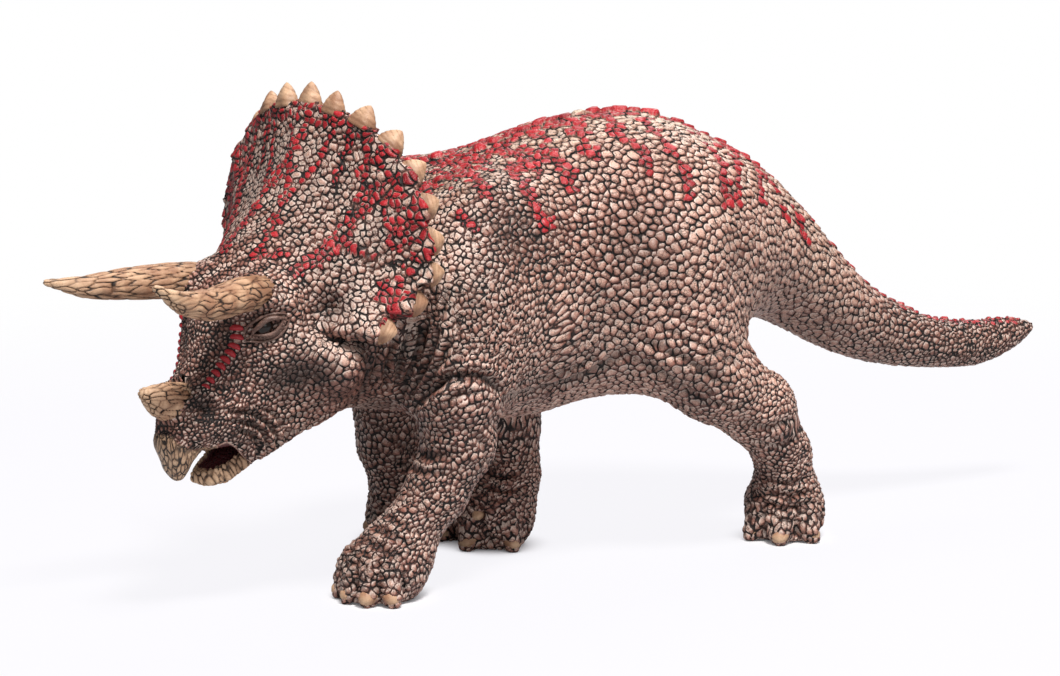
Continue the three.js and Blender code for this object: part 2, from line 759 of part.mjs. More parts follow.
function makeLowerJaw() {
  const bar = loft(jawShares.map((row) => jawRing(row)));
  const hub = crossRod(pivot, jawWidth / 2, jawHub, roundSteps * 2);
  return bar.add(hub).subtract(crossRod(pivot, jawWidth, jawPin + clearance, roundSteps));
}

// The mouth: an open slot from the palate down, in which the jaw swings.
const mouthShares = [
  [-0.9, -0.95],
  [-0.83, -0.56],
  [-0.77, -0.485],
  [-0.66, -0.425],
  [-0.48, -0.27],
  [-0.38, -0.2],
  [-0.22, -0.2],
  [-0.22, -0.95],
];
function extruded(points, depth) {
  return new THREE.ExtrudeGeometry(new THREE.Shape(points), { depth, bevelEnabled: false });
}
// The slot seen from above: along, and half width as a share of the jaw's.
const mouthPlanShares = [
  [-1.2, 0.4],
  [-0.86, 0.66],
  [-0.7, 1],
  [-0.1, 1],
];
function makeMouth() {
  const half = jawWidth / 2 + clearance;
  const outline = mouthShares.map(([along, up]) => new THREE.Vector2(along * headLength, up * headHeight));
  const side = extruded(outline, 2 * half);
  side.rotateX(Math.PI / 2);
  side.translate(0, half, 0);
  const right = mouthPlanShares.map(([along, width]) => new THREE.Vector2(along * headLength, width * half));
  const left = right.map((p) => new THREE.Vector2(p.x, -p.y)).reverse();
  const plan = extruded([...right, ...left], headHeight * 2);
  plan.translate(0, 0, -headHeight * 1.5);
  return fromGeometry(side).intersect(fromGeometry(plan));
}

// Where the head meets the body, and where each of the other mouldings is plugged in.
const neckCut = headPlace(0.06, 0, 0);
const neckWay = new THREE.Vector3(-1, 0, 0);
const tailCut = place(0.3, 0, 0.6);
const tailWay = new THREE.Vector3(0.86, 0, -0.51);

const ground = beyond(new THREE.Vector3(0, 0, 0), new THREE.Vector3(0, 0, -1), bodyLength * 2);

// A nail is a half dome on the ground, or a longer one where a toe is held up off it.
function nail(leg, angle, lift, height) {
  const turn = THREE.MathUtils.degToRad(angle);
  const geometry = new THREE.SphereGeometry(1, 10, 6);
  geometry.rotateX(Math.PI / 2);
  geometry.scale(nailDepth / 2, nailWidth / 2, height / 2);
  geometry.rotateZ(turn);
  const reach = toeReach * leg.footShare;
  geometry.translate(leg.foot.x + Math.cos(turn) * reach, leg.foot.y + Math.sin(turn) * reach, lift);
  return fromGeometry(geometry).subtract(ground);
}

function makeLegSkin(leg) {
  const reach = new THREE.Vector3(1, 1, 1).multiplyScalar(legThickness + legPitch);
  const lowJoints = leg.joints.slice(leg.cutJoint - 1);
  const space = new THREE.Box3().setFromPoints(lowJoints);
  return skin((x, y, z) => legDistance(x, y, z, leg), space.min.sub(reach), space.max.add(reach), legPitch)
    .subtract(ground);
}

const pieces = {};
const legReach = backHeight * 0.78;
let torso = skin(torsoDistance, place(-0.42, -0.75, 0.1), place(0.42, 0.75, 1.12), bodyPitch);
for (const leg of legs) {
  const cut = leg.joints[leg.cutJoint];
  const way = new THREE.Vector3(0, 0.6 * leg.side, -0.8);
  const tilted = (offset) => {
    const start = cut.clone().addScaledVector(way, offset);
    return beyond(start, way, legReach, leg.cutReachShare * legThickness);
  };
  torso = torso.subtract(tilted(0));
  let piece = makeLegSkin(leg).intersect(tilted(clearance));
  for (const angle of leg.nailAngles) {
    piece = piece.add(nail(leg, leg.heading + angle, nailHeight * 0.3, nailHeight));
  }
  if (leg.innerToe) piece = piece.add(nail(leg, leg.innerToe, innerToeLift, innerToeHeight));
  const inward = way.clone().negate();
  const root = cut.clone().addScaledVector(way, clearance + legPlugRadius);
  piece = piece.add(rod(root, inward, legPlugLength + legPlugRadius, legPlugRadius, plugSides));
  const mouth = cut.clone().addScaledVector(way, overrun);
  torso = torso.subtract(rod(mouth, inward, legPlugLength + overrun, legPlugRadius + clearance, plugSides));
  pieces[leg.name] = piece;
}

function makeTail() {
  const stations = [];
  const start = tailCut.x - overrun * 2;
  const end = trunkShares[trunkShares.length - 1][0] * bodyLength;
  const rows = 16;
  for (let i = 0; i <= rows; i += 1) {
    const x = THREE.MathUtils.lerp(start, end, i / rows);
    const s = trunkSection(x);
    stations.push(Array.from({ length: roundSteps * 1.5 }, (_, k) => {
      const turn = (k / (roundSteps * 1.5)) * Math.PI * 2;
      return new THREE.Vector3(x, s.sway + Math.cos(turn) * s.half, s.middle + Math.sin(turn) * s.rise);
    }));
  }
  const cut = beyond(tailCut.clone().addScaledVector(tailWay, clearance), tailWay, bodyLength);
  const root = tailCut.clone().addScaledVector(tailWay, tailPlugRadius);
  const inward = tailWay.clone().negate();
  const plug = rod(root, inward, tailPlugRadius + tailPlugLength, tailPlugRadius, plugSides);
  return loft(stations).intersect(cut).add(plug);
}
torso = torso.subtract(beyond(tailCut, tailWay, bodyLength));
torso = torso.subtract(rod(
  tailCut.clone().addScaledVector(tailWay, overrun),
  tailWay.clone().negate(),
  tailPlugLength + overrun,
  tailPlugRadius + clearance,
  plugSides,
));
pieces.tail = makeTail();

const headRegion = (offset) => (
  beyond(neckCut.clone().addScaledVector(neckWay, offset), neckWay, headLength * 3));
torso = torso.subtract(moved(headRegion(0), headMatrix));
const neckPlug = (extra, length) => rod(
  neckCut.clone().addScaledVector(neckWay, clearance + neckPlugRadius),
  neckWay.clone().negate(),
  length,
  neckPlugRadius + extra,
  plugSides,
);
const neckSocket = neckPlug(clearance, neckPlugRadius + neckPlugLength + 2 * clearance);
torso = torso.subtract(moved(neckSocket, headMatrix));
pieces.torso = torso;

function makeHead() {
  const low = headPlace(-1.1, -0.75, -0.85);
  const high = headPlace(0.3, 0.75, 0.85);
  let head = skin(headDistance, low, high, headPitch).intersect(headRegion(clearance));
  head = head.add(makeFrillPlate()).add(makeBeak());
  for (let i = 0; i < spikeCount; i += 1) head = head.add(makeSpike(i));
  head = head.subtract(makeMouth());
  head = head.subtract(crossRod(pivot, jawPinHalf + clearance, jawPin + clearance, roundSteps));
  for (const piece of [...browHorns, noseHorn, ...eyes]) head = head.subtract(piece.socket);
  return head.add(neckPlug(0, neckPlugRadius + neckPlugLength));
}
const headPieces = {
  head: makeHead(),
  lower_jaw: makeLowerJaw(),
  jaw_pin: crossRod(pivot, jawPinHalf, jawPin, roundSteps),
  nose_horn: noseHorn.solid,
};
for (const { side, solid: horn } of browHorns) headPieces[`brow_horn_${side}`] = horn;
for (const { side, solid: eye } of eyes) headPieces[`eye_${side}`] = eye;

const skinMaterial = () => new THREE.MeshStandardMaterial({ color: 0xaa8c80, roughness: 0.7, metalness: 0 });
const hornMaterial = () => new THREE.MeshStandardMaterial({ color: 0xd6aa78, roughness: 0.6, metalness: 0 });
const eyeMaterial = () => new THREE.MeshStandardMaterial({ color: 0x120d0b, roughness: 0.2, metalness: 0 });
const pinMaterial = () => new THREE.MeshStandardMaterial({ color: 0xb8b8b8, roughness: 0.4, metalness: 0.9 });
const finishes = {
  lower_jaw: hornMaterial,
  nose_horn: hornMaterial,
  brow_horn_left: hornMaterial,
  brow_horn_right: hornMaterial,
  eye_left: eyeMaterial,
  eye_right: eyeMaterial,
  jaw_pin: pinMaterial,
};

function makeMesh(name, part) {
  const { vertProperties, triVerts } = part.getMesh();
  const geometry = new THREE.BufferGeometry();
  geometry.setAttribute('position', new THREE.BufferAttribute(vertProperties, 3));
  geometry.setIndex(new THREE.BufferAttribute(triVerts, 1));
  geometry.computeVertexNormals();
  const mesh = new THREE.Mesh(geometry, (finishes[name] ?? skinMaterial)());
  mesh.name = name;
  return mesh;
}

const figure = new THREE.Group();
const headGroup = new THREE.Group();
headGroup.applyMatrix4(headMatrix);
for (const [name, part] of Object.entries(pieces)) figure.add(makeMesh(name, part));
for (const [name, part] of Object.entries(headPieces)) headGroup.add(makeMesh(name, part));
figure.add(headGroup);

// The figure is put with the middle of its box over the origin and its soles on the ground.
figure.updateMatrixWorld(true);
const box = new THREE.Box3().setFromObject(figure, true);
const middle = box.getCenter(new THREE.Vector3());
figure.position.set(-middle.x, -middle.y, 0);
figure.updateMatrixWorld(true);

export default figure;
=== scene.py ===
# %% [markdown]
# # A horned dinosaur figure
# The real object is a small painted figure of moulded plastic. Nearly all of its surface is scaly hide, so this
# lesson is mostly about hide: one smooth skin is grown over the solid pieces, folds are pressed into it, and
# then it is divided into scales. Horns, spikes, nails, eyes and beaks are pieces of their own.

# %% The frame
import math
from collections import defaultdict

import bmesh
import bpy
import numpy as np
from mathutils import Matrix, Vector
from mathutils.bvhtree import BVHTree
from mathutils.kdtree import KDTree


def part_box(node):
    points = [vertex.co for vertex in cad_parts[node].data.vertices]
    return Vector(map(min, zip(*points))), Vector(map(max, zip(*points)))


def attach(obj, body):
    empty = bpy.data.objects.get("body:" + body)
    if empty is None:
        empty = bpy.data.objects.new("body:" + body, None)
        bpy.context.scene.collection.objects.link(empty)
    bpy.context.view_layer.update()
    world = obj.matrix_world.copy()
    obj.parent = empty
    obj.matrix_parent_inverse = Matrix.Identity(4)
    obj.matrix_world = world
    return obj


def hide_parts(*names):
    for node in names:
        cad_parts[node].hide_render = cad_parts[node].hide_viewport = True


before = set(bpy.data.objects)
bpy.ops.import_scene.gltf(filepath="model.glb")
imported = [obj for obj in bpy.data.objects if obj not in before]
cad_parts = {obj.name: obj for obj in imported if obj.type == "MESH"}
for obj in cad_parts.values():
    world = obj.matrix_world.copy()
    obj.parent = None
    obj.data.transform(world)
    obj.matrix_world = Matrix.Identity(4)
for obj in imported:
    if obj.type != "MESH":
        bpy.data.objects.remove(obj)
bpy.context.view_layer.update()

MM = 0.001
scene = bpy.context.scene

# %% [markdown]
# ## Camera
# The photograph was taken from a little above and in front of the figure's left shoulder, from far enough
# away that the perspective is weak. The camera comes first, because places that are read off the photograph
# are found by sending a ray from it through a pixel.

# %% Camera
PHOTO_WIDTH, PHOTO_HEIGHT = 1060, 676
camera_turn, camera_drop = math.radians(32), math.radians(11)
camera_distance = 800 * MM
pixels_per_slope = 4399
sensor = 36
figure_shift = Vector((-0.0385, -0.9498, 0)) * MM
target = Vector((-7.6, 0, 39.7)) * MM + figure_shift

view_right = Vector((math.cos(camera_turn), -math.sin(camera_turn), 0))
view_way = Vector((
    math.sin(camera_turn) * math.cos(camera_drop),
    math.cos(camera_turn) * math.cos(camera_drop),
    -math.sin(camera_drop),
))
view_up = view_right.cross(view_way)
camera_place = target - camera_distance * view_way



def placed(name, data):
    """A new object in the scene."""
    obj = bpy.data.objects.new(name, data)
    scene.collection.objects.link(obj)
    return obj


camera = placed("camera", bpy.data.cameras.new("camera"))
camera.location = camera_place
camera.rotation_euler = view_way.to_track_quat("-Z", "Y").to_euler()
camera.data.sensor_width = sensor
camera.data.sensor_fit = "HORIZONTAL"
camera.data.lens = pixels_per_slope / PHOTO_WIDTH * sensor
camera.data.clip_start = 0.01
scene.camera = camera


def pixel_ray(x, y):
    """The direction from the camera through a pixel of the photograph."""
    across = (x - PHOTO_WIDTH / 2) / pixels_per_slope
    down = (y - PHOTO_HEIGHT / 2) / pixels_per_slope
    return (view_way + view_right * across - view_up * down).normalized()


print("camera at", [round(v, 3) for v in camera_place], "lens", round(camera.data.lens, 1))

# %% [markdown]
# ## The base skin
# The solid pieces are copied, swollen by a hair so that the gaps between them close, and joined. A voxel
# remesh turns them into one closed skin of even squares. Smoothing that shrinks and swells by turns
# (Taubin's way) takes out the flat facets and keeps the volume.

# %% Mesh arrays
skin_nodes = ["torso", "head", "tail", "front_left_leg", "front_right_leg", "hind_left_leg", "hind_right_leg"]
filler_nodes = ["nose_horn", "brow_horn_left", "brow_horn_right", "eye_left", "eye_right"]
swell = 0.17 * MM


def merged(name):
    """A CAD node as a bmesh with its loose triangles joined."""
    bm = bmesh.new()
    bm.from_mesh(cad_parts[name].data)
    bmesh.ops.remove_doubles(bm, verts=bm.verts, dist=0.002 * MM)
    bm.normal_update()
    return bm


def mesh_of(bm, name):
    """A new mesh from a bmesh that isn't needed any more."""
    mesh = bpy.data.meshes.new(name)
    bm.to_mesh(mesh)
    bm.free()
    return mesh


def joined(meshes, name):
    """Several meshes as one."""
    together = bmesh.new()
    for mesh in meshes:
        together.from_mesh(mesh)
        bpy.data.meshes.remove(mesh)
    return mesh_of(together, name)


def swollen(name):
    bm = merged(name)
    for v in bm.verts:
        v.co += v.normal * swell
    return mesh_of(bm, "part")


def evaluated(mesh, kind, settings=None, inputs=None):
    """A plain mesh that one modifier makes out of a mesh, which is used up."""
    obj = placed("work", mesh)
    modifier = obj.modifiers.new(kind, kind)
    for name, value in (settings or {}).items():
        setattr(modifier, name, value)
    for name, value in (inputs or {}).items():
        modifier[name] = value
    graph = bpy.context.evaluated_depsgraph_get()
    graph.update()
    result = bpy.data.meshes.new_from_object(obj.evaluated_get(graph))
    bpy.data.objects.remove(obj)
    bpy.data.meshes.remove(mesh)
    return result


def places_of(mesh):
    co = np.empty(len(mesh.vertices) * 3, np.float32)
    mesh.vertices.foreach_get("co", co)
    return co.reshape(-1, 3).astype(np.float64)


def put_places(mesh, co):
    mesh.vertices.foreach_set("co", np.asarray(co, np.float32).ravel())


def squares_of(mesh):
    """The corners of each four-sided face."""
    total = np.empty(len(mesh.polygons), np.int32)
    mesh.polygons.foreach_get("loop_total", total)
    assert (total == 4).all(), "a face isn't a square"
    corners = np.empty(len(total) * 4, np.int32)
    mesh.loops.foreach_get("vertex_index", corners)
    return corners.reshape(-1, 4)


def lengths(rows):
    return np.linalg.norm(rows, axis=-1)


def unit(row):
    return np.array(row) / lengths(row)


def sides_of(faces):
    return np.concatenate([faces[:, [i, (i + 1) % 4]] for i in range(4)])


def edges_of(faces):
    return np.unique(np.sort(sides_of(faces), axis=1), axis=0)


def normals_of(co, faces):
    a, b, c, d = (co[faces[:, i]] for i in range(4))
    face_normal = np.cross(c - a, d - b)
    total = np.zeros_like(co)
    for i in range(4):
        for axis in range(3):
            total[:, axis] += np.bincount(faces[:, i], face_normal[:, axis], len(co))
    return total / np.maximum(lengths(total), 1e-12)[:, None]


def smooth(co, faces, passes, shrink=0.5, grow=-0.515):
    """Takes out the facets and keeps the volume."""
    a, b = edges_of(faces).T
    degree = np.maximum(np.bincount(np.concatenate([a, b]), minlength=len(co)), 1)
    for _ in range(passes):
        for share in (shrink, grow):
            around = np.empty_like(co)
            for k in range(3):
                column = co[:, k]
                around[:, k] = np.bincount(a, column[b], len(co)) + np.bincount(b, column[a], len(co))
            co = co + share * (around / degree[:, None] - co)
    return co


# %% Grow the skin
def remeshed(mesh, voxel):
    mesh = evaluated(mesh, "REMESH", {"mode": "VOXEL", "voxel_size": voxel})
    result = places_of(mesh), squares_of(mesh)
    bpy.data.meshes.remove(mesh)
    return result


def grow_skin(voxel, passes):
    co, faces = remeshed(joined(map(swollen, skin_nodes + filler_nodes), "together"), voxel)
    co = smooth(co, faces, passes)
    co -= normals_of(co, faces) * swell
    return co, faces


body_voxel = 0.66 * MM
head_voxel = 0.535 * MM
body_co, body_faces = grow_skin(body_voxel, 76)
head_co, head_faces = grow_skin(head_voxel, 86)
print("skin squares:", len(body_faces), "for the body,", len(head_faces), "for the head")

# %% [markdown]
# ## One part of the skin for each moulding
# Each square of the skin goes to the moulding that lies nearest, so that the parts share their borders exactly
# and no seam opens between them. Shells that lie shut inside, round the plugs, are thrown away. The head is
# made finer than the body, because its scales are smaller, and it overlaps the end of the neck.

# %% Sort the squares
def picked(co, faces, keep):
    """The kept faces with only the vertices that they use, and those vertices' old numbers."""
    faces = faces[keep]
    used = np.unique(faces)
    number = np.full(len(co), -1)
    number[used] = np.arange(len(used))
    return co[used], number[faces], used


def biggest_shell(co, faces):
    """Drops all but the largest connected shell."""
    label = np.arange(len(co))
    edges = edges_of(faces)
    while True:
        low = np.minimum(label[edges[:, 0]], label[edges[:, 1]])
        new = label.copy()
        np.minimum.at(new, edges[:, 0], low)
        np.minimum.at(new, edges[:, 1], low)
        new = new[new]
        if (new == label).all():
            break
        label = new
    main = np.bincount(label).argmax()
    return picked(co, faces, (label[faces] == main).all(axis=1))[:2]


def nearest_part(points, names):
    """For each point, which of the named nodes lies nearest, and how far away."""
    corners, triangles, owner = [], [], []
    for index, name in enumerate(names):
        bm = merged(name)
        bmesh.ops.triangulate(bm, faces=bm.faces)
        bm.verts.index_update()
        triangles += [tuple(v.index + len(corners) for v in f.verts) for f in bm.faces]
        owner += [index] * len(bm.faces)
        corners += [v.co[:] for v in bm.verts]
        bm.free()
    tree = BVHTree.FromPolygons(corners, triangles)
    hits = [tree.find_nearest(p)[2:] for p in points.tolist()]
    return np.array([owner[hit[0]] for hit in hits]), np.array([hit[1] for hit in hits])


def settled(part, faces, count, passes=6):
    """Lets each face take the part that most of the faces around it have, which straightens the borders."""
    for _ in range(passes):
        votes = np.zeros((count, part.max() + 1))
        for i in range(4):
            np.add.at(votes, (faces[:, i], part), 1)
        part = votes[faces].sum(axis=1).argmax(axis=1)
    return part


head_turn = math.radians(12.7)
head_origin = np.array([-47.642, 0, 45.579]) * MM + np.array(figure_shift)
head_axes = np.array([
    [math.cos(head_turn), math.sin(head_turn), 0],
    [-math.sin(head_turn), math.cos(head_turn), 0],
    [0, 0, 1],
])
neck_seam = 2.64 * MM


def in_head(points):
    """Places in the head's own frame: along it, across it, up."""
    return (np.asarray(points) - head_origin) @ head_axes.T


def from_head(points):
    return np.asarray(points) @ head_axes + head_origin


body_co, body_faces = biggest_shell(body_co, body_faces)
head_co, head_faces = biggest_shell(head_co, head_faces)
part_names = ["torso", "tail", "front_left_leg", "front_right_leg", "hind_left_leg", "hind_right_leg", "head"]
body_part, _ = nearest_part(body_co[body_faces].mean(axis=1), part_names)
body_part = settled(body_part, body_faces, len(body_co))
middles = head_co[head_faces].mean(axis=1)
nearest, _ = nearest_part(middles, part_names + filler_nodes)
along = in_head(middles)[:, 0]
head_part = (nearest == part_names.index("head")) | ((nearest == 0) & (along < neck_seam + 1.5 * MM))
horns_at = np.nonzero(nearest >= len(part_names))[0]
_, off_head = nearest_part(middles[horns_at], ["head"])
horn_lap = 0.7 * MM
head_part[horns_at] = off_head < horn_lap
head_part = settled(head_part.astype(int), head_faces, len(head_co), 3) == 1
print("squares by part:", dict(zip(part_names, np.bincount(body_part).tolist())), "head:", int(head_part.sum()))


# %% [markdown]
# ## A finer skin
# Each square is split in four before anything is pressed into the skin, so that a scale is three to five
# vertices wide.

# %% Split every square
def split_in_four(co, faces, part):
    """Subdivision of the skin. The part numbers ride along as material numbers."""
    mesh = bpy.data.meshes.new("coarse")
    mesh.from_pydata(co.tolist(), [], faces.tolist())
    mesh.polygons.foreach_set("material_index", part.astype(np.int32))
    fine = evaluated(mesh, "SUBSURF", {"levels": 1, "render_levels": 1})
    number = np.empty(len(fine.polygons), np.int32)
    fine.polygons.foreach_get("material_index", number)
    result = places_of(fine), squares_of(fine), number
    bpy.data.meshes.remove(fine)
    return result


body_fine, body_squares, body_number = split_in_four(body_co, body_faces, body_part)
head_fine, head_squares, head_number = split_in_four(head_co, head_faces, head_part)
head_fine, head_squares, _ = picked(head_fine, head_squares, head_number == 1)
head_fine, head_squares = biggest_shell(head_fine, head_squares)
print("after the split:", len(body_squares), "and", len(head_squares), "squares")

# %% [markdown]
# ## The frill's edge
# The frill carries a row of pale, blunt spikes, which are made as pieces of their own further on. The skin's
# own lumps at those places are pushed down to the rim first, so that they don't poke out beside them. Then the
# edge, which smoothing has worn down, is drawn out to a thin rim, more at the sides than at the top. The rim is
# the same curve that the solid frill was drawn with.

# %% Rim of the frill
def blend(a, b, t):
    """From a to b as t goes from 0 to 1, with soft ends."""
    t = np.clip(t, 0, 1)
    return a + (b - a) * t * t * (3 - 2 * t)


head_length, head_height, head_width = 44 * MM, 36 * MM, 30 * MM
frill_width, frill_rise, frill_drop = 48 * MM, 24 * MM, 19.4 * MM
frill_hollow = 3.4 * MM
spike_start, spike_count, spike_sweep = -35, 19, 0.75
side_spike, top_spike = 3.2 * MM, 5.8 * MM
rim_reach = 24 * MM


def frill_rim(angle):
    """The edge of the frill in the head's frame, by its angle from level in degrees."""
    turn = math.radians(angle)
    up = math.sin(turn)
    curl = 0.144 * up ** 4 if up > 0 else 0.522 * up ** 2
    return np.array([
        -head_length * (0.074 * abs(math.cos(turn)) - 0.006 + curl),
        math.cos(turn) * frill_width / 2,
        head_height * 0.43 + up * (frill_rise if up > 0 else frill_drop),
    ])


def frill_out(angle):
    """The way out across the rim, in the head's frame."""
    turn = math.radians(angle)
    root = np.array([-0.5 + 0.04 * math.sin(turn), math.cos(turn) * 0.2, 0.3 + 0.14 * math.sin(turn)])
    root *= [head_length, head_width, head_height]
    inner = root + (frill_rim(angle) - root) * 0.9
    inner[0] += frill_hollow * 4 * 0.9 * 0.1
    return unit(frill_rim(angle) - inner)


def spike_frame(angle):
    """The foot of a spike, the way it points, the way along the rim, and its length."""
    turn = math.radians(angle)
    out = frill_out(angle)
    out[0] += spike_sweep * math.cos(turn) ** 2
    out = unit(out)
    along = frill_rim(angle + 1) - frill_rim(angle - 1)
    along = unit(along - out * along.dot(out))
    length = side_spike + (top_spike - side_spike) * max(math.sin(turn), 0) ** 2
    return from_head(frill_rim(angle)), out @ head_axes, along @ head_axes, length


def rim_target(angle):
    """How far the frill's edge stands out past the solid's middle surface."""
    return (1.6 + 1.6 * abs(math.cos(math.radians(angle)))) * MM


spike_angles = np.linspace(spike_start, 180 - spike_start, spike_count)
spike_frames = [spike_frame(a) for a in spike_angles]
rim_angles = np.arange(-35, 216, 2.5)
rim_feet = np.array([from_head(frill_rim(a)) for a in rim_angles])
rim_ways = np.array([frill_out(a) for a in rim_angles]) @ head_axes


def without_spikes(co):
    """The skin with each spike's lump pushed down to the rim."""
    co = co.copy()
    for foot, out, along, _ in spike_frames:
        away = co - foot
        height = away @ out
        aside = lengths(away - height[:, None] * out)
        over = np.where((aside < 3.4 * MM) & (height > -0.6 * MM), height + 0.6 * MM, 0)
        co -= 0.85 * over[:, None] * out
    return co


def nearest_rim(co):
    """For each place, which sample of the rim is nearest, and how far away."""
    away = np.full(len(co), np.inf)
    nearest = np.zeros(len(co), int)
    for i, foot in enumerate(rim_feet):
        distance = lengths(co - foot)
        nearest[distance < away] = i
        away = np.minimum(away, distance)
    return nearest, away


def worn_by(co):
    """How far the frill's edge falls short at each sample of the rim."""
    nearest, away = nearest_rim(co)
    worn = np.zeros(len(rim_feet))
    for i, (foot, way) in enumerate(zip(rim_feet, rim_ways)):
        own = (nearest == i) & (away < 7 * MM)
        if own.any():
            worn[i] = rim_target(rim_angles[i]) - np.percentile((co[own] - foot) @ way, 98)
    for _ in range(4):
        worn[1:-1] = (worn[:-2] + 2 * worn[1:-1] + worn[2:]) / 4
    return np.clip(worn, 0, 4.5 * MM)


def out_to_rim(co):
    nearest, away = nearest_rim(co)
    push = worn[nearest] * blend(1.0, 0.0, away / rim_reach)
    return co + push[:, None] * rim_ways[nearest]


head_fine = without_spikes(head_fine)
worn = worn_by(head_fine)
head_fine = out_to_rim(head_fine)
base_tree = BVHTree.FromPolygons(out_to_rim(without_spikes(head_co)).tolist(), head_faces.tolist())
print("the frill's edge fell short by, in mm:", np.round(worn[::10] / MM, 2).tolist())

# %% [markdown]
# ## Folds and hollows
# Broad hollows part the shoulder, ribs and thigh. Narrow folds cross the neck, elbow, groin and ankles, and
# the face has pits, brow ridges and wrinkles round eye and mouth. Each is a stroke along a path of
# photograph pixels, which is laid on the skin and repeated on the far side.

# %% Paths from the photograph
def curved(path, steps=6):
    """A smooth path through the given points."""
    p = np.array(path, float)
    p = np.concatenate([[2 * p[0] - p[1]], p, [2 * p[-1] - p[-2]]])
    a, b, c, d = (p[i:len(p) - 3 + i, None] for i in range(4))
    t = (np.arange(steps) / steps)[None, :, None]
    rows = 0.5 * (2 * b + (c - a) * t + (2 * a - 5 * b + 4 * c - d) * t ** 2 + (3 * b - a - 3 * c + d) * t ** 3)
    return np.concatenate([rows.reshape(-1, p.shape[1]), p[-2:-1]])


def on_skin(path, step=1.5):
    """A path of photograph pixels laid on the skin, as places some pixels apart."""
    path = np.array(path, float)
    found = []
    for a, b in zip(path[:-1], path[1:]):
        count = max(int(lengths(b - a) / step), 1)
        for i in range(count):
            hit = base_tree.ray_cast(camera_place, pixel_ray(*(a + (b - a) * i / count)))[0]
            if hit is not None:
                found.append(hit[:])
    return np.array(found)


def onto_skin(points):
    return np.array([base_tree.find_nearest(p)[0][:] for p in points.tolist()])


def across_body(points):
    """The same places on the other side of the body."""
    return onto_skin(points * [1, -1, 1] + [0, 2 * figure_shift.y, 0])


def across_head(points):
    return onto_skin(from_head(in_head(points) * [1, -1, 1]))


# %% Strokes
# Each stroke: depth in mm, where a ridge is less than zero, half width in mm, and pixels of the photograph.
body_strokes = [
    (1.5, 6.0, [(672, 165), (640, 215), (614, 262), (606, 305), (624, 352)]),
    (0.8, 4.5, [(562, 205), (578, 250), (565, 300), (532, 345)]),
    (0.8, 4.0, [(500, 215), (522, 240), (548, 285)]),
    (-0.9, 6.0, [(452, 225), (468, 270), (478, 320)]),
    (-0.8, 8.0, [(690, 215), (704, 262), (715, 310)]),
    (0.7, 3.5, [(742, 215), (735, 255), (748, 305)]),
    (0.8, 1.3, [(505, 398), (545, 388), (590, 374), (630, 352)]),
    (0.5, 0.7, [(520, 384), (560, 374), (600, 356)]),
    (0.6, 1.0, [(628, 356), (662, 374), (704, 404)]),
    (0.6, 0.8, [(642, 340), (690, 362), (738, 394)]),
    (0.45, 0.6, [(655, 325), (700, 345), (748, 372)]),
    (0.45, 0.6, [(672, 385), (712, 402), (745, 408)]),
    (0.45, 0.6, [(668, 312), (712, 330), (752, 350)]),
    (1.3, 0.75, [(424, 328), (417, 355), (405, 385), (400, 402)]),
    (1.1, 0.65, [(438, 330), (428, 362), (414, 388), (406, 404)]),
    (1.1, 0.65, [(411, 332), (402, 360), (396, 388)]),
    (1.0, 0.65, [(395, 338), (388, 365), (384, 392)]),
    (0.9, 0.6, [(451, 340), (438, 368), (420, 392)]),
    (0.8, 0.55, [(380, 345), (375, 370), (373, 392)]),
    (0.7, 0.55, [(465, 352), (450, 372), (432, 392)]),
    (0.6, 0.55, [(448, 290), (440, 322)]),
]
near_strokes = [
    (1.5, 1.0, [(413, 407), (436, 386), (460, 376), (484, 378), (502, 392)]),
    (0.7, 0.7, [(440, 412), (456, 396), (482, 392)]),
    (-0.9, 5.0, [(452, 392), (460, 430)]),
    (0.8, 1.0, [(398, 440), (424, 455), (452, 456)]),
    (0.6, 0.7, [(392, 456), (420, 472), (446, 474)]),
    (0.6, 0.7, [(470, 430), (484, 446), (492, 470)]),
    (0.6, 0.7, [(358, 520), (385, 532), (415, 548)]),
    (0.6, 0.7, [(350, 532), (376, 545), (408, 562)]),
    (0.5, 0.6, [(366, 508), (396, 520), (420, 534)]),
    (0.7, 0.8, [(740, 418), (765, 428), (792, 420)]),
    (0.6, 0.7, [(752, 440), (775, 446), (800, 438)]),
    (0.6, 0.6, [(764, 478), (785, 484), (812, 478)]),
    (0.6, 0.6, [(766, 490), (788, 496), (816, 490)]),
    (0.6, 0.6, [(762, 502), (788, 508), (820, 502)]),
    (0.6, 0.6, [(482, 470), (500, 476), (520, 472)]),
    (0.6, 0.6, [(484, 484), (504, 490), (526, 486)]),
]
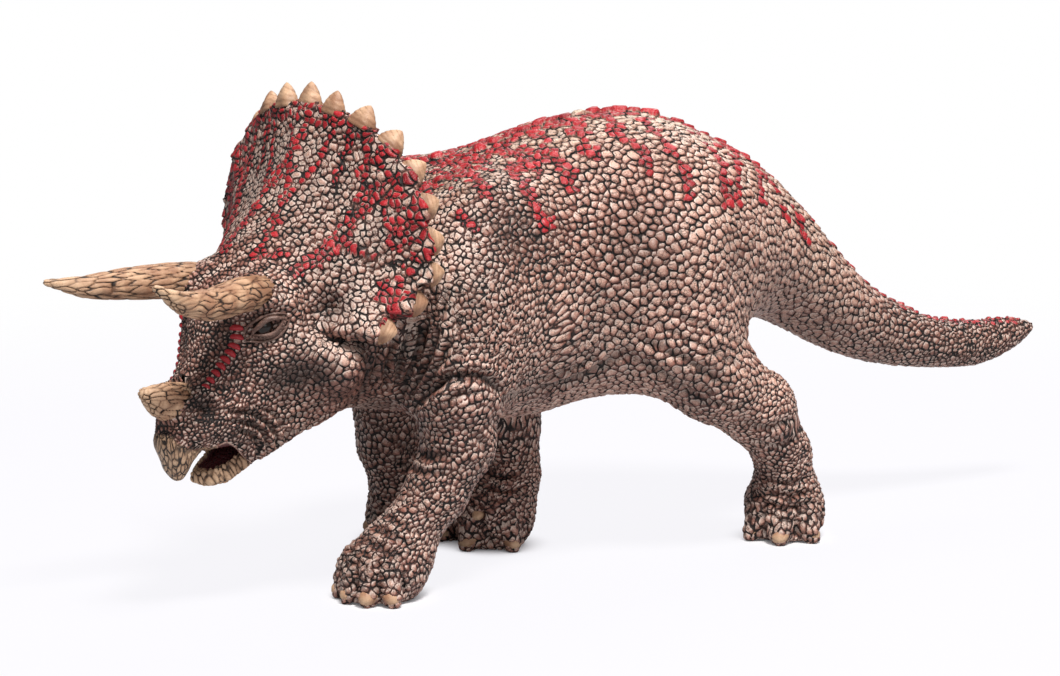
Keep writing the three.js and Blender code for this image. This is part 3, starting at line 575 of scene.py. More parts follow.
head_strokes = [
    (0.9, 3.2, [(262, 314), (278, 328)]),
    (-0.9, 1.8, [(238, 312), (262, 302), (288, 304), (300, 314)]),
    (1.8, 3.0, [(286, 380), (322, 374)]),
    (1.8, 2.4, [(325, 302), (336, 314)]),
    (-1.0, 4.0, [(334, 338), (350, 366)]),
    (0.7, 1.2, [(352, 330), (366, 352), (366, 384), (352, 405)]),
    (-0.5, 2.5, [(298, 334), (328, 350)]),
    (1.3, 1.5, [(200, 404), (211, 413)]),
    (-0.5, 0.9, [(194, 400), (208, 394), (220, 404), (218, 418)]),
    (0.7, 3.4, [(244, 350), (228, 388)]),
    (-0.8, 1.3, [(236, 312), (237, 340), (222, 365), (200, 392)]),
    (1.0, 0.5, [(238, 430), (254, 436), (258, 450), (254, 466)]),
    (1.0, 0.5, [(232, 421), (256, 426), (268, 444), (264, 468)]),
    (0.9, 0.5, [(226, 412), (256, 415), (277, 436), (276, 458)]),
    (0.6, 0.45, [(250, 404), (276, 416), (290, 440)]),
    (0.4, 0.5, [(286, 342), (302, 330), (304, 312), (294, 298)]),
    (0.4, 0.45, [(282, 349), (300, 340), (312, 320), (306, 300)]),
    (0.5, 0.7, [(276, 442), (312, 424), (346, 404)]),
    (0.5, 0.7, [(266, 434), (300, 414), (334, 396)]),
    (-0.6, 2.0, [(310, 96), (300, 135), (288, 190), (262, 236)]),
    (0.5, 3.0, [(345, 130), (340, 180), (320, 235)]),
    (-0.5, 2.2, [(425, 175), (385, 212), (335, 248), (292, 275)]),
    (0.6, 3.0, [(415, 235), (380, 265), (340, 285)]),
]


def laid(strokes, mirror):
    """Strokes as rows of places with the depth at each, faded towards the ends."""
    result = []
    for depth, width, path in strokes:
        points = on_skin(curved(path))
        fade = np.sin(np.linspace(0.06, 0.94, len(points)) * math.pi) ** 0.5
        result.append((points, depth * MM * fade, width * MM))
        if mirror:
            result.append((mirror(points), depth * MM * fade, width * MM))
    return result


def at_foot(along, across):
    """The middle of a foot on the ground, from its shares of the body's length and width."""
    return np.array([along * 166, across * 50, 0]) * MM + np.array(figure_shift)


# Each foot: its middle, the heading of its toes in degrees, the nails' angles from it, the raised toe's
# heading, and its size as a share of a front foot's.
feet = {
    "front_left": (at_foot(-0.287, -0.31), 185, (-66, -33, 0, 33, 66), None, 1.0),
    "front_right": (at_foot(-0.119, 0.44), 215, (-72, -36, 0, 36, 72), None, 1.0),
    "hind_left": (at_foot(0.232, -0.31), 228, (-53, 0, 53), 120, 0.93),
    "hind_right": (at_foot(-0.064, 0.164), 198, (-71, 0, 71), 215, 0.93),
}
toe_reach = 6.6 * MM


def heading_way(turn):
    return np.array([math.cos(turn), math.sin(turn), 0])


def toe_strokes():
    """A ridge up from each nail, a groove between toes, and a fold round the top of each toe."""
    result = []

    def stroke(depth, width, places):
        fade = np.sin(np.linspace(0.15, 0.9, len(places)) * math.pi) ** 0.6
        result.append((onto_skin(places), depth * MM * fade, width * MM))

    def up_the_foot(middle, turn, share, top):
        rise = np.linspace(0, 1, 9)[:, None]
        out = heading_way(turn) * toe_reach * share * (1.15 - 0.6 * rise)
        return middle + out + np.array([0, 0, 1]) * (1.2 + top * rise) * MM

    for middle, heading, angles, raised, share in feet.values():
        half = math.radians(angles[1] - angles[0]) / 2
        for angle in angles:
            turn = math.radians(heading + angle)
            stroke(-0.9, 1.5, up_the_foot(middle, turn, share, 5.0))
            stroke(0.7, 0.55, up_the_foot(middle, turn + half, share, 5.5))
        for height in (5.2, 6.8, 8.6):
            turns = np.radians(heading + np.linspace(angles[0] - 15, angles[-1] + 15, 21))
            round_toes = toe_reach * share * 0.9
            wave = 0.5 * np.cos((turns - turns[0]) / half * math.pi)
            ring = [np.cos(turns) * round_toes, np.sin(turns) * round_toes, (height + wave) * MM]
            stroke(0.45, 0.5, middle + np.stack(ring, axis=1))
    return result


strokes = laid(body_strokes, across_body) + laid(near_strokes, None) + laid(head_strokes, across_head)
strokes += toe_strokes()


def close_to(points, reach, co):
    """The numbers of the places in the box round a path."""
    return np.nonzero(((co > points.min(axis=0) - reach) & (co < points.max(axis=0) + reach)).all(axis=1))[0]


def with_strokes(co, faces):
    """The skin with the strokes pressed in. A narrow groove raises a lip on each side."""
    normal = normals_of(co, faces)
    offset = np.zeros(len(co))
    # How deep each place lies in a narrow fold, kept as a mask for the painted shade in the creases.
    crease_shade = np.zeros(len(co))
    for points, depth, width in strokes:
        index = close_to(points, 3 * width, co)
        narrow = width < 1.6 * MM
        for part in np.array_split(index, len(index) // 4000 + 1):
            if not len(part):
                continue
            away = lengths(co[part][:, None, :] - points[None])
            nearest = away.argmin(axis=1)
            d = away[np.arange(len(part)), nearest] / width
            deep = depth[nearest]
            lip = 0.3 * deep * np.exp(-((d - 1.9) / 0.7) ** 2) if narrow else 0
            offset[part] += lip - deep * np.exp(-d ** 2)
            if narrow:
                crease_shade[part] = np.maximum(crease_shade[part], np.clip(deep / MM, 0, 1) * np.exp(-(d / 0.8) ** 2))
    return co + normal * offset[:, None], crease_shade


body_fine, body_crease_shade = with_strokes(body_fine, body_squares)
head_fine, head_crease_shade = with_strokes(head_fine, head_squares)
print("strokes:", len(strokes))

# %% [markdown]
# ## Where the scales sit
# Scales on the real figure are polygons of even size: largest on the flanks, smaller on the shoulder and
# belly, small on the face and the lower legs, tiny at the end of the tail. On the neck, belly, ankles and
# tail they are drawn out along the folds. Points are scattered over the skin, points that lie too close to
# an earlier one are dropped, and those left are moved to the middle of their share of the skin. Red plates
# come first: their points lie in rows along paths that are read off the photograph. All of this is done in a
# space that is stretched across the folds, which draws the scales out along them.

# %% Node trees for geometry
def geometry_tree(name, inputs, nodes, links, last, material=None):
    """A tree for a Geometry Nodes modifier, and the identifiers of its inputs.

    inputs: names and kinds of sockets; nodes: kinds and settings; links: from node and output, to node and
    input. What the last node puts out is made real and gets the material.
    """
    tree = bpy.data.node_groups.new(name, "GeometryNodeTree")
    face = tree.interface
    face.new_socket("Geometry", in_out="INPUT", socket_type="NodeSocketGeometry")
    ids = [face.new_socket(n, in_out="INPUT", socket_type="NodeSocket" + kind).identifier for n, kind in inputs]
    face.new_socket("Geometry", in_out="OUTPUT", socket_type="NodeSocketGeometry")
    made = {"in": tree.nodes.new("NodeGroupInput"), "out": tree.nodes.new("NodeGroupOutput")}
    ending = {
        "real": ("GeometryNodeRealizeInstances", {}),
        "paint": ("GeometryNodeSetMaterial", {"Material": material}),
    }
    for key, (kind, values) in {**nodes, **ending}.items():
        made[key] = tree.nodes.new(kind)
        for socket, value in values.items():
            if socket == "data_type":
                made[key].data_type = value
            else:
                made[key].inputs[socket].default_value = value
    final = [(*last, "real", "Geometry"), ("real", "Geometry", "paint", "Geometry")]
    for a, output, b, socket in links + final + [("paint", "Geometry", "out", "Geometry")]:
        tree.links.new(made[a].outputs[output], made[b].inputs[socket])
    return tree, ids


def scattered(co, faces, per_square_mm, seed):
    """Random points on the skin."""
    inputs = [("Density", "Float"), ("Seed", "Int")]
    nodes = {
        "points": ("GeometryNodeDistributePointsOnFaces", {}),
        "vertices": ("GeometryNodePointsToVertices", {}),
    }
    tree, (density, seed_socket) = geometry_tree("scatter", inputs, nodes, [
        ("in", "Geometry", "points", "Mesh"), ("in", "Density", "points", "Density"),
        ("in", "Seed", "points", "Seed"), ("points", "Points", "vertices", "Points"),
    ], ("vertices", "Mesh"))
    mesh = bpy.data.meshes.new("ground")
    mesh.from_pydata(co.tolist(), [], faces.tolist())
    values = {density: per_square_mm / MM ** 2, seed_socket: seed}
    return places_of(evaluated(mesh, "NODES", {"node_group": tree}, values))


# %% Size and stretch of the scales
def scale_size(points):
    """How far apart scales lie at each place, in metres."""
    x, y, z = points.T / MM
    h = in_head(points).T / MM
    size = blend(1.12, 1.6, (x + 28) / 30)
    size = blend(size, 1.02, (42 - z) / 22)
    size = np.where(x > 45, blend(size, 0.9, (x - 50) / 50), size)
    frill = blend(0.88, 1.12, (h[0] + 30) / 20)
    face = blend(0.7, 1.08, (h[0] + 34) / 20)
    return blend(blend(face, frill, (h[2] - 5) / 6), size, (h[0] - 1) / 6) * MM


# Each zone: its middle and reach in mm, the way across the folds, and how much it is stretched that way.
zones = [
    ((-28, -18, 44), 12, (1, -0.1, 0.3), 1.8),
    ((-28, 18, 44), 12, (1, 0.1, 0.3), 1.8),
    ((4, 0, 30), 14, (0.15, 0, 1), 1.3),
    ((30, -20, 30), 8, (-0.5, 0, 1), 1.5),
    ((4, 16, 30), 8, (-0.3, 0, 1), 1.5),
    ((38, -16, 13), 10, (0, 0, 1), 1.7),
    ((-10, 8, 12), 10, (0, 0, 1), 1.7),
    ((-44, -16, 14), 10, (-0.5, 0, 1), 1.5),
    ((-20, 21, 12), 10, (0, 0, 1), 1.5),
    ((92, 0, 46), 18, (1, 0, -0.1), 1.5),
]


def stretched(points):
    """The places in the space where scales are as wide as they are long."""
    result = points.copy()
    for middle, reach, way, factor in zones:
        away = points - np.array(middle) * MM
        weight = blend(1.0, 0.0, lengths(away) / (reach * MM) - 0.5)
        result += (weight * (factor - 1) * (away @ unit(way)))[:, None] * unit(way)
    return result


def thinned(points, sizes, first, first_sizes):
    """Keeps points that lie no closer to a kept one than most of the mean of their two sizes."""
    grid = defaultdict(list)
    steps = [(i, j, k) for i in (-1, 0, 1) for j in (-1, 0, 1) for k in (-1, 0, 1)]
    kept, kept_sizes = [], []
    rows = np.concatenate([first, points])
    row_sizes = np.concatenate([first_sizes, sizes])
    keys = np.floor(rows / (3.2 * MM)).astype(int).tolist()
    for i, (p, size, key) in enumerate(zip(rows.tolist(), row_sizes.tolist(), keys)):
        near = (entry for a, b, c in steps for entry in grid.get((key[0] + a, key[1] + b, key[2] + c), ()))
        if i < len(first) or all(
            (p[0] - q[0]) ** 2 + (p[1] - q[1]) ** 2 + (p[2] - q[2]) ** 2 > ((size + other) * 0.42) ** 2
            for q, other in near
        ):
            grid[tuple(key)].append((p, size))
            kept.append(p)
            kept_sizes.append(size)
    return np.array(kept), np.array(kept_sizes)


def tree_from(points):
    tree = KDTree(len(points))
    for i, p in enumerate(points.tolist()):
        tree.insert(p, i)
    tree.balance()
    return tree


def nearest_in(tree, points, answer):
    """For each point, the number (1) of its nearest point in the tree, or how far away that is (2)."""
    return np.array([tree.find(p)[answer] for p in points.tolist()])


def evened(seeds, fixed, ground):
    """Moves each seed, but for the first ones, towards the middle of the ground nearest to it."""
    owner = nearest_in(tree_from(seeds), ground, 1)
    held = np.bincount(owner, minlength=len(seeds))
    middle = np.stack([np.bincount(owner, ground[:, k], len(seeds)) for k in range(3)], axis=1)
    middle /= np.maximum(held, 1)[:, None]
    still = held == 0
    still[:fixed] = True
    middle[still] = seeds[still]
    return 0.55 * seeds + 0.45 * middle


# %% Red scales
# Each stripe: how far from its path scales are red, in mm, what share of them, and pixels of the photograph.
body_stripes = [
    (1.3, 1.0, [(457, 216), (466, 224), (475, 232)]),
    (1.5, 1.0, [(464, 171), (481, 183), (487, 195)]),
    (1.6, 0.95, [(505, 141), (514, 165), (523, 180), (535, 204), (541, 221), (552, 223)]),
    (2.2, 0.8, [(520, 150), (534, 172)]),
    (1.7, 0.95, [(532, 129), (550, 156), (566, 171), (572, 187)]),
    (1.6, 0.95, [(574, 120), (586, 144), (592, 158)]),
    (1.5, 0.9, [(610, 116), (622, 138), (637, 147), (649, 159), (652, 170)]),
    (1.4, 0.95, [(640, 120), (660, 136), (672, 148), (680, 158), (684, 172), (688, 196)]),
    (1.3, 0.85, [(690, 132), (712, 150), (722, 168), (726, 195), (724, 212)]),
    (1.2, 0.85, [(716, 146), (733, 150), (738, 176), (741, 206)]),
    (1.2, 0.8, [(745, 158), (758, 170), (762, 202)]),
    (1.2, 0.8, [(766, 176), (778, 194), (786, 216)]),
    (1.2, 0.8, [(792, 206), (800, 222), (806, 240)]),
]
frill_stripes = [
    (0.7, 0.9, [(262, 104), (250, 160), (238, 205), (220, 252)]),
    (0.7, 0.6, [(276, 104), (272, 150), (266, 190)]),
    (1.2, 0.85, [(297, 104), (294, 150), (285, 200), (266, 240), (252, 256)]),
    (2.6, 0.6, [(312, 106), (345, 116), (373, 132), (398, 152), (414, 168)]),
    (1.3, 0.8, [(348, 140), (340, 168), (333, 187)]),
    (1.5, 0.92, [(414, 172), (385, 190), (360, 213), (323, 253), (297, 272)]),
    (3.4, 0.5, [(372, 180), (392, 172)]),
    (3.8, 0.7, [(404, 212), (416, 232)]),
    (2.8, 0.65, [(400, 240), (424, 252)]),
    (3.2, 0.6, [(388, 292), (408, 300)]),
    (1.8, 0.7, [(384, 322), (394, 318)]),
]
spine_width = 3.6 * MM


def ridge_of_back():
    """The ridge of the back and tail: the highest skin at steps along the body."""
    row = []
    for x in np.arange(-36 * MM, 100 * MM, 0.5 * MM):
        rays = [Vector((x, figure_shift.y + i * 0.6 * MM, 0.2)) for i in range(-10, 11)]
        hits = [base_tree.ray_cast(ray, Vector((0, 0, -1)))[0] for ray in rays]
        hits = [hit for hit in hits if hit is not None]
        if hits:
            best = max(hits, key=lambda hit: hit.z)
            if in_head(best)[0] > neck_seam:
                row.append(best[:])
    return np.array(row)


def spaced(points, size):
    """Places along a path, each its own size away from the one before."""
    row = [0]
    for i in range(len(points)):
        if lengths(points[i] - points[row[-1]]) >= size[i]:
            row.append(i)
    return points[row], size[row]


def striped(stripes, mirror):
    rows = [(on_skin(curved(path)), reach * MM, share) for reach, share, path in stripes]
    return rows + [(mirror(points), reach, share) for points, reach, share in rows]


ridge = ridge_of_back()
ridge_tree = tree_from(ridge)
plates, plate_sizes = spaced(ridge, blend(3.0 * MM, 1.5 * MM, (ridge[:, 0] - 30 * MM) / (70 * MM)))
body_red, frill_red = striped(body_stripes, across_body), striped(frill_stripes, across_head)
rows = [spaced(points, np.full(len(points), 1.7 * MM)) for points, _, _ in body_red]
rows += [spaced(points, np.full(len(points), 1.05 * MM)) for points, reach, _ in frill_red if reach < 1.6 * MM]
row_places, row_sizes = (np.concatenate(part) for part in zip(*rows))
first, first_sizes = thinned(stretched(row_places), row_sizes, stretched(plates), plate_sizes)
cloud = scattered(body_co, body_faces, 7.0, 7)
seeds, seed_sizes = thinned(stretched(cloud), scale_size(cloud), first, first_sizes)
seeds = evened(seeds, len(first), stretched(body_fine[::2]))
print("plates:", len(plates), "scales in rows:", len(first), "scales in all:", len(seeds))


# %% Which scales are red
def red_share(co):
    """How likely a scale at each place is to be red."""
    share = np.zeros(len(co))
    for points, reach, chance in body_red + frill_red:
        close = close_to(points, reach, co)
        if len(close):
            away = lengths(co[close][:, None, :] - points[None]).min(axis=1)
            share[close] = np.maximum(share[close], np.where(away < reach, chance, 0))
    away = nearest_in(ridge_tree, co, 2)
    width = blend(spine_width, 1.6 * MM, (co[:, 0] - 40 * MM) / (50 * MM))
    share = np.maximum(share, np.where(away < width, 0.85, 0))
    return np.maximum(share, np.where((away < 2.2 * width) & (co[:, 0] < 60 * MM), 0.16, 0))


# %% [markdown]
# ## Press the scales into the skin
# Each vertex is told how far it lies from the border between its own scale and the next one. Vertices that
# lie almost on a border are moved onto it, so that the grooves come out straight and sharp. Then the middle
# of every scale is raised, its border is sunk, and its lower side leans out a little, like a shingle. The
# beak, the foot of the nose horn and the inside of the mouth stay free of scales. The front of the beak is
# moved back a little and its rear is made thicker, which brings it closer to the photograph.

# %% Borders between scales
class Scales:
    """Cells round seeds. It works in a space of its own, given as a function of the place."""

    def __init__(self, seeds, sizes, space, seed_number):
        self.seeds, self.sizes, self.space = seeds, sizes, space
        self.chance = np.random.default_rng(seed_number).random(len(seeds))
        self.weight = (self.chance - 0.5) * 0.36 * sizes ** 2
        self.tree = tree_from(seeds)

    def measure(self, co):
        """For each place: its scale, how far the border is, the way across it, and the way from the seed."""
        where = self.space(co)
        near = np.array([[hit[1] for hit in self.tree.find_n(p, 6)] for p in where.tolist()])
        apart = ((where[:, None, :] - self.seeds[near]) ** 2).sum(axis=2) - self.weight[near]
        order = np.argsort(apart, axis=1)
        rows = np.arange(len(co))
        own = near[rows, order[:, 0]]
        best = np.full(len(co), np.inf)
        way = np.zeros_like(co)
        for k in (1, 2, 3):
            step = self.seeds[near[rows, order[:, k]]] - self.seeds[own]
            length = np.maximum(lengths(step), 1e-9)
            distance = (apart[rows, order[:, k]] - apart[rows, order[:, 0]]) / (2 * length)
            closer = distance < best
            best = np.where(closer, distance, best)
            way[closer] = (step / length[:, None])[closer]
        step = 0.05 * MM
        rate = ((self.space(co + way * step) - where) * way).sum(axis=1) / step
        return own, best, way / np.maximum(rate, 0.5)[:, None], where - self.seeds[own]


def ripple(points, size, wave, number):
    """A small, smooth, random shift, which makes straight borders waver."""
    rng = np.random.default_rng(number)
    shift = np.zeros_like(points)
    for _ in range(7):
        way = rng.normal(size=3)
        way *= 2 * math.pi / (wave * lengths(way))
        shift += np.sin(points @ way + rng.random() * 6.28)[:, None] * rng.normal(size=3)
    return shift * size / 3


def hide_space(points):
    return stretched(points + ripple(points, 0.22 * MM, 2.6 * MM, 5))


scales = Scales(seeds, seed_sizes, hide_space, 11)
ground = body_fine[::3]
chances = red_share(ground[nearest_in(tree_from(stretched(ground)), seeds, 1)])
chances[:len(first)] = 0.94
scales.red = np.random.default_rng(3).random(len(seeds)) < chances
scales.plate = np.arange(len(seeds)) < len(plates)


# %% Beak and mouth
# Outlines of the horny beak and of the nose horn's foot in pixels of the photograph, and of the mouth in the
# head's frame. The far side is the same, mirrored.
beak_outline = [
    (136, 434), (158, 434), (172, 438), (184, 446), (196, 452), (206, 446), (218, 446), (214, 453), (206, 462),
    (202, 478), (196, 496), (160, 490), (136, 450),
]
nose_outline = [(136, 376), (165, 380), (188, 383), (193, 392), (183, 404), (172, 414), (160, 421), (140, 420)]
mouth_outline = [
    (-0.95, -0.95), (-0.86, -0.545), (-0.78, -0.47), (-0.66, -0.405), (-0.48, -0.25), (-0.38, -0.18),
    (-0.2, -0.18), (-0.2, -0.95),
]
jaw_half = 5.3 * MM
beak_shift = 1.3 * MM


def on_photo(points):
    """The pixel of the photograph at which each place shows."""
    away = points - np.array(camera_place)
    deep = away @ np.array(view_way)
    across = away @ np.array(view_right) / deep * pixels_per_slope + PHOTO_WIDTH / 2
    down = -(away @ np.array(view_up)) / deep * pixels_per_slope + PHOTO_HEIGHT / 2
    return np.stack([across, down], axis=1)


def inside(points, outline):
    """How deep each flat place lies inside an outline: less than zero outside."""
    outline = np.array(outline, float)
    within = np.zeros(len(points), bool)
    best = np.full(len(points), np.inf)
    for a, b in zip(outline, np.roll(outline, -1, axis=0)):
        side = b - a
        t = np.clip(((points - a) @ side) / side.dot(side), 0, 1)
        best = np.minimum(best, lengths(points - a - t[:, None] * side))
        crosses = (a[1] > points[:, 1]) != (b[1] > points[:, 1])
        rise = side[1] if side[1] else 1e-9
        within ^= crosses & (points[:, 0] < a[0] + (points[:, 1] - a[1]) * side[0] / rise)
    return np.where(within, best, -best)


def seen_from_near(co):
    """The pixels of places on the head, with those of the far side mirrored onto the near one."""
    local = in_head(co)
    local[:, 1] = -np.abs(local[:, 1])
    return on_photo(from_head(local))


def with_beak_back(co):
    """The front of the beak moved back a little where the solid's bulges, and its rear made thicker."""
    x, y = seen_from_near(co).T
    thicker = np.interp(y, [440, 447, 457, 466, 492], [0, 2.8, 1.5, 0.5, 0.2]) * MM
    thicker *= blend(0.0, 1.0, (x - 171) / 14) * blend(1.0, 0.0, (x - 190) / 14)
    level = blend(0.0, 1.0, (y - 412) / 25) * blend(1.0, 0.6, (y - 465) / 20)
    front = blend(1.0, 0.0, (x - 165) / 35)
    return co + (beak_shift * level * front + thicker)[:, None] * head_axes[0]


head_fine = with_beak_back(head_fine)
pixels_per_mm = pixels_per_slope * MM / camera_distance
seen_at = seen_from_near(head_fine)
local = in_head(head_fine)
horny = np.maximum(inside(seen_at, beak_outline), inside(seen_at, nose_outline)) / pixels_per_mm
horny = np.where(local[:, 0] < -24 * MM, np.clip(horny, -3, 3), -3)
slot = inside(local[:, [0, 2]] / [head_length, head_height], mouth_outline) * head_height / MM
half = blend(jaw_half * 0.66, jaw_half, (local[:, 0] / head_length + 0.86) / 0.16)
mouth = np.minimum(slot + 0.5, (half + 0.45 * MM - np.abs(local[:, 1])) / MM * 3)
mouth = np.where(horny > 0, -3, np.clip(mouth, -3, 3))
print("horny vertices:", int((horny > 0).sum()), "in the mouth:", int((mouth > 0).sum()))

# %% Relief
tilt = 0.24
tilt_way = np.array([0.4, 0, -0.9])
pale_reach = 22 * MM


def pressed(co, faces, spacing, crease_shade, horny, mouth):
    """The skin with its scales, and what the paint needs to know about each vertex."""
    normal = normals_of(co, faces)
    scaly = blend(1.0, 0.0, np.maximum((horny - 0.3) / 1.4, mouth / 0.6 + 0.5))
    own, gap, way, _ = scales.measure(co)
    way -= normal * (way * normal).sum(axis=1, keepdims=True)
    co = co + way * (np.where(gap < 0.42 * spacing, gap, 0) * scaly)[:, None]
    own, gap, _, offset = scales.measure(co)
    size, chance = scales.sizes[own], scales.chance[own]
    red, plate = scales.red[own].astype(float), scales.plate[own]
    t = np.clip(gap / (0.2 * size), 0, 1)
    dome = np.sqrt(1 - (1 - t) ** 2)
    height = size * (0.11 * dome + 0.035 * np.clip(gap / (0.5 * size), 0, 1) - 0.095)
    height += (chance - 0.5) * 0.16 * size * t + (red * 0.12 + plate * 0.16) * size * dome
    height += tilt * (offset @ tilt_way) * dome
    co = co + normal * (height * scaly)[:, None]
    pale = blend(1.0, 0.0, nearest_in(ridge_tree, co, 2) / pale_reach)
    # The "low" mark says how far each place lies towards the lower edge of its scale; the paint uses it to put
    # painted highlight on the upper side and painted shade on the lower side.
    return co, {
        "gap": gap / MM * scaly + 2 * (1 - scaly), "cell": chance, "red": red * scaly,
        "low": offset @ tilt_way / size * scaly, "pale": pale * blend(1.0, 0.0, (co[:, 0] / MM - 36) / 30),
        "crease_shade": crease_shade, "horny": horny, "mouth": mouth,
    }


none = np.full(len(body_fine), -3.0)
body_skin, body_marks = pressed(body_fine, body_squares, body_voxel / 2, body_crease_shade, none, none)
head_skin, head_marks = pressed(head_fine, head_squares, head_voxel / 2, head_crease_shade, horny, mouth)
print("pressed", len(scales.seeds), "scales into", len(body_skin) + len(head_skin), "vertices")

# %% Dark smudges: darker paint and painted shade
# Each smudge: reach in mm, strength, and its pixel of the photograph. All are repeated on the far side.
# Together they lay darker paint and painted shade: in the hollows of the flank and cheek, under the neck, and
# over the frill, the tail and the legs.
body_smudges_and_shade = [
    (9, 0.75, (520, 235)), (7, 0.5, (500, 270)), (9, 0.7, (640, 250)), (7, 0.5, (612, 300)),
    (6, 0.4, (742, 250)), (7, 0.45, (470, 300)), (6, 0.6, (425, 350)), (5, 0.5, (395, 375)),
    (5, 0.8, (380, 404)), (6, 0.4, (560, 380)), (6, 0.45, (700, 390)),
    (13, 0.35, (420, 470)), (12, 0.4, (350, 560)), (10, 0.3, (780, 300)),
    (9, 0.3, (790, 500)), (16, 0.45, (950, 350)), (14, 0.4, (890, 345)), (13, 0.35, (835, 325)),
    (12, 0.3, (600, 350)),
]
head_smudges_and_shade = [
    (4.5, 1.3, (300, 379)), (3.5, 1.1, (284, 379)), (3.5, 1.2, (322, 376)), (3.5, 0.95, (330, 307)),
    (4, 0.7, (345, 392)), (3, 0.9, (206, 408)), (5, 0.5, (240, 370)), (4, 0.6, (228, 330)),
    (4, 0.55, (268, 318)), (5, 0.5, (250, 425)), (5, 0.4, (372, 340)), (13, 0.4, (310, 190)),
    (11, 0.35, (375, 225)), (8, 0.35, (260, 170)),
    (7, 0.4, (330, 262)), (9, 0.25, (300, 345)), (4, 0.8, (368, 372)), (4, 0.7, (360, 395)),
]


def smudged_and_shaded(co):
    # Darker paint and painted shade, from the smudges.
    dark = np.zeros(len(co))
    for smudges_and_shade, mirror in ((body_smudges_and_shade, across_body), (head_smudges_and_shade, across_head)):
        for reach, strength, pixel in smudges_and_shade:
            spot = on_skin([pixel, (pixel[0] + 1, pixel[1])])
            for middle in (spot[0], mirror(spot)[0]):
                dark = np.maximum(dark, strength * np.exp(-(lengths(co - middle) / (reach * MM)) ** 2))
    return dark


body_marks["smudge_and_shade"] = smudged_and_shaded(body_skin)
head_marks["smudge_and_shade"] = smudged_and_shaded(head_skin)

# %% [markdown]
# ## Pieces of skin
# The squares of each part become a plain mesh of their own, closed where the cut was, with the marks for the
# paint stored on the vertices.

# %% Mesh from arrays
def store(mesh, mark, values):
    kind, field = ("FLOAT", "value") if np.ndim(values) == 1 else ("FLOAT_VECTOR", "vector")
    attribute = mesh.attributes.new(mark, kind, "POINT")
    attribute.data.foreach_set(field, np.asarray(values, np.float32).ravel())


def mesh_piece(name, co, faces, marks=None):
    mesh = bpy.data.meshes.new(name)
    mesh.from_pydata(np.asarray(co).tolist(), [], [row for part in faces for row in part.tolist()])
    for mark, values in (marks or {}).items():
        store(mesh, mark, values)
    mesh.shade_smooth()
    mesh.validate()
    return placed(name, mesh)


def dressed(obj, material, body="body", node=None):
    """Gives a piece its paint, the body that it rides on, and the node that it stands for."""
    obj.data.materials.clear()
    obj.data.materials.append(material)
    obj.data.polygons.foreach_set("material_index", np.zeros(len(obj.data.polygons), np.int32))
    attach(obj, body)
    if node:
        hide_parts(node)


lip = 1.2 * MM


def skin_piece(name, co, faces, marks, keep):
    """A part of the skin, whose open borders are turned in by a lip."""
    normal = normals_of(co, faces)
    co, faces, used = picked(co, faces, keep)
    sides = sides_of(faces)
    key = sides[:, 0] * len(co) + sides[:, 1]
    rim = sides[~np.isin(sides[:, 1] * len(co) + sides[:, 0], key)]
    ring = np.unique(rim)
    number = np.full(len(co), -1)
    number[ring] = len(co) + np.arange(len(ring))
    walls = np.stack([rim[:, 1], rim[:, 0], number[rim[:, 0]], number[rim[:, 1]]], axis=1)
    co = np.concatenate([co, co[ring] - normal[used][ring] * lip])
    marks = {mark: np.concatenate([values[used], values[used][ring]]) for mark, values in marks.items()}
    print(name, "triangles:", 2 * (len(faces) + len(walls)))
    return mesh_piece(name, co, [faces, walls], marks)


# The two largest parts are cut in two at a level of their own, to keep each mesh to a handy size. The torso
# also takes a strip of the head's skin under the seam of the neck, sunk a little.
torso_halves = figure_shift.x + 1 * MM
head_halves = 7.5 * MM
hides = []
middles = body_skin[body_squares].mean(axis=1)
torso = body_number == 0
local = in_head(middles)
lap = (local[:, 0] > neck_seam - 1.2 * MM) & (local[:, 0] < neck_seam + 3 * MM)
lap &= lengths(local[:, 1:] - [0, -3 * MM]) < 17 * MM
torso |= lap & (body_number == part_names.index("head"))
under = np.unique(body_squares[torso & (local[:, 0] < neck_seam + 1.8 * MM)])
depth = blend(0.35 * MM, 0.0, (in_head(body_skin[under])[:, 0] - neck_seam - 0.6 * MM) / (1.2 * MM))
body_skin[under] -= normals_of(body_skin, body_squares)[under] * depth[:, None]
front = middles[:, 0] < torso_halves
body_cuts = [("torso_front", torso & front, "torso"), ("torso_rear", torso & ~front, None)]
body_cuts += [(name, body_number == i, name) for i, name in enumerate(part_names[1:-1], 1)]
for name, keep, node in body_cuts:
    hides.append((skin_piece(name + "_hide", body_skin, body_squares, body_marks, keep), node))
low = in_head(head_skin[head_squares].mean(axis=1))[:, 2] < head_halves
for name, keep, node in (("face", low, "head"), ("frill", ~low, None)):
    hides.append((skin_piece(name + "_hide", head_skin, head_squares, head_marks, keep), node))

# %% [markdown]
# ## Shaders as expressions
# A small class turns sockets into values that can be added and multiplied, so that a material reads like the
# sum it stands for.

# %% Socket arithmetic
class Value:
    """The output of a node, used in sums."""

    def __init__(self, shader, socket):
        self.shader = shader
        self.socket = socket

    def __add__(self, other):
        return self.shader.maths("ADD", self, other)

    def __sub__(self, other):
        return self.shader.maths("SUBTRACT", self, other)

    def __rsub__(self, other):
        return self.shader.maths("SUBTRACT", other, self)

    def __mul__(self, other):
        return self.shader.maths("MULTIPLY", self, other)

    __radd__ = __add__
    __rmul__ = __mul__

    def between(self, low, high):
        """0 up to low, 1 from high on, smooth in between."""
        settings = {"interpolation_type": "SMOOTHSTEP"}
        values = {"Value": self, "From Min": low, "From Max": high}
        return self.shader.make("ShaderNodeMapRange", settings, values, "Result")


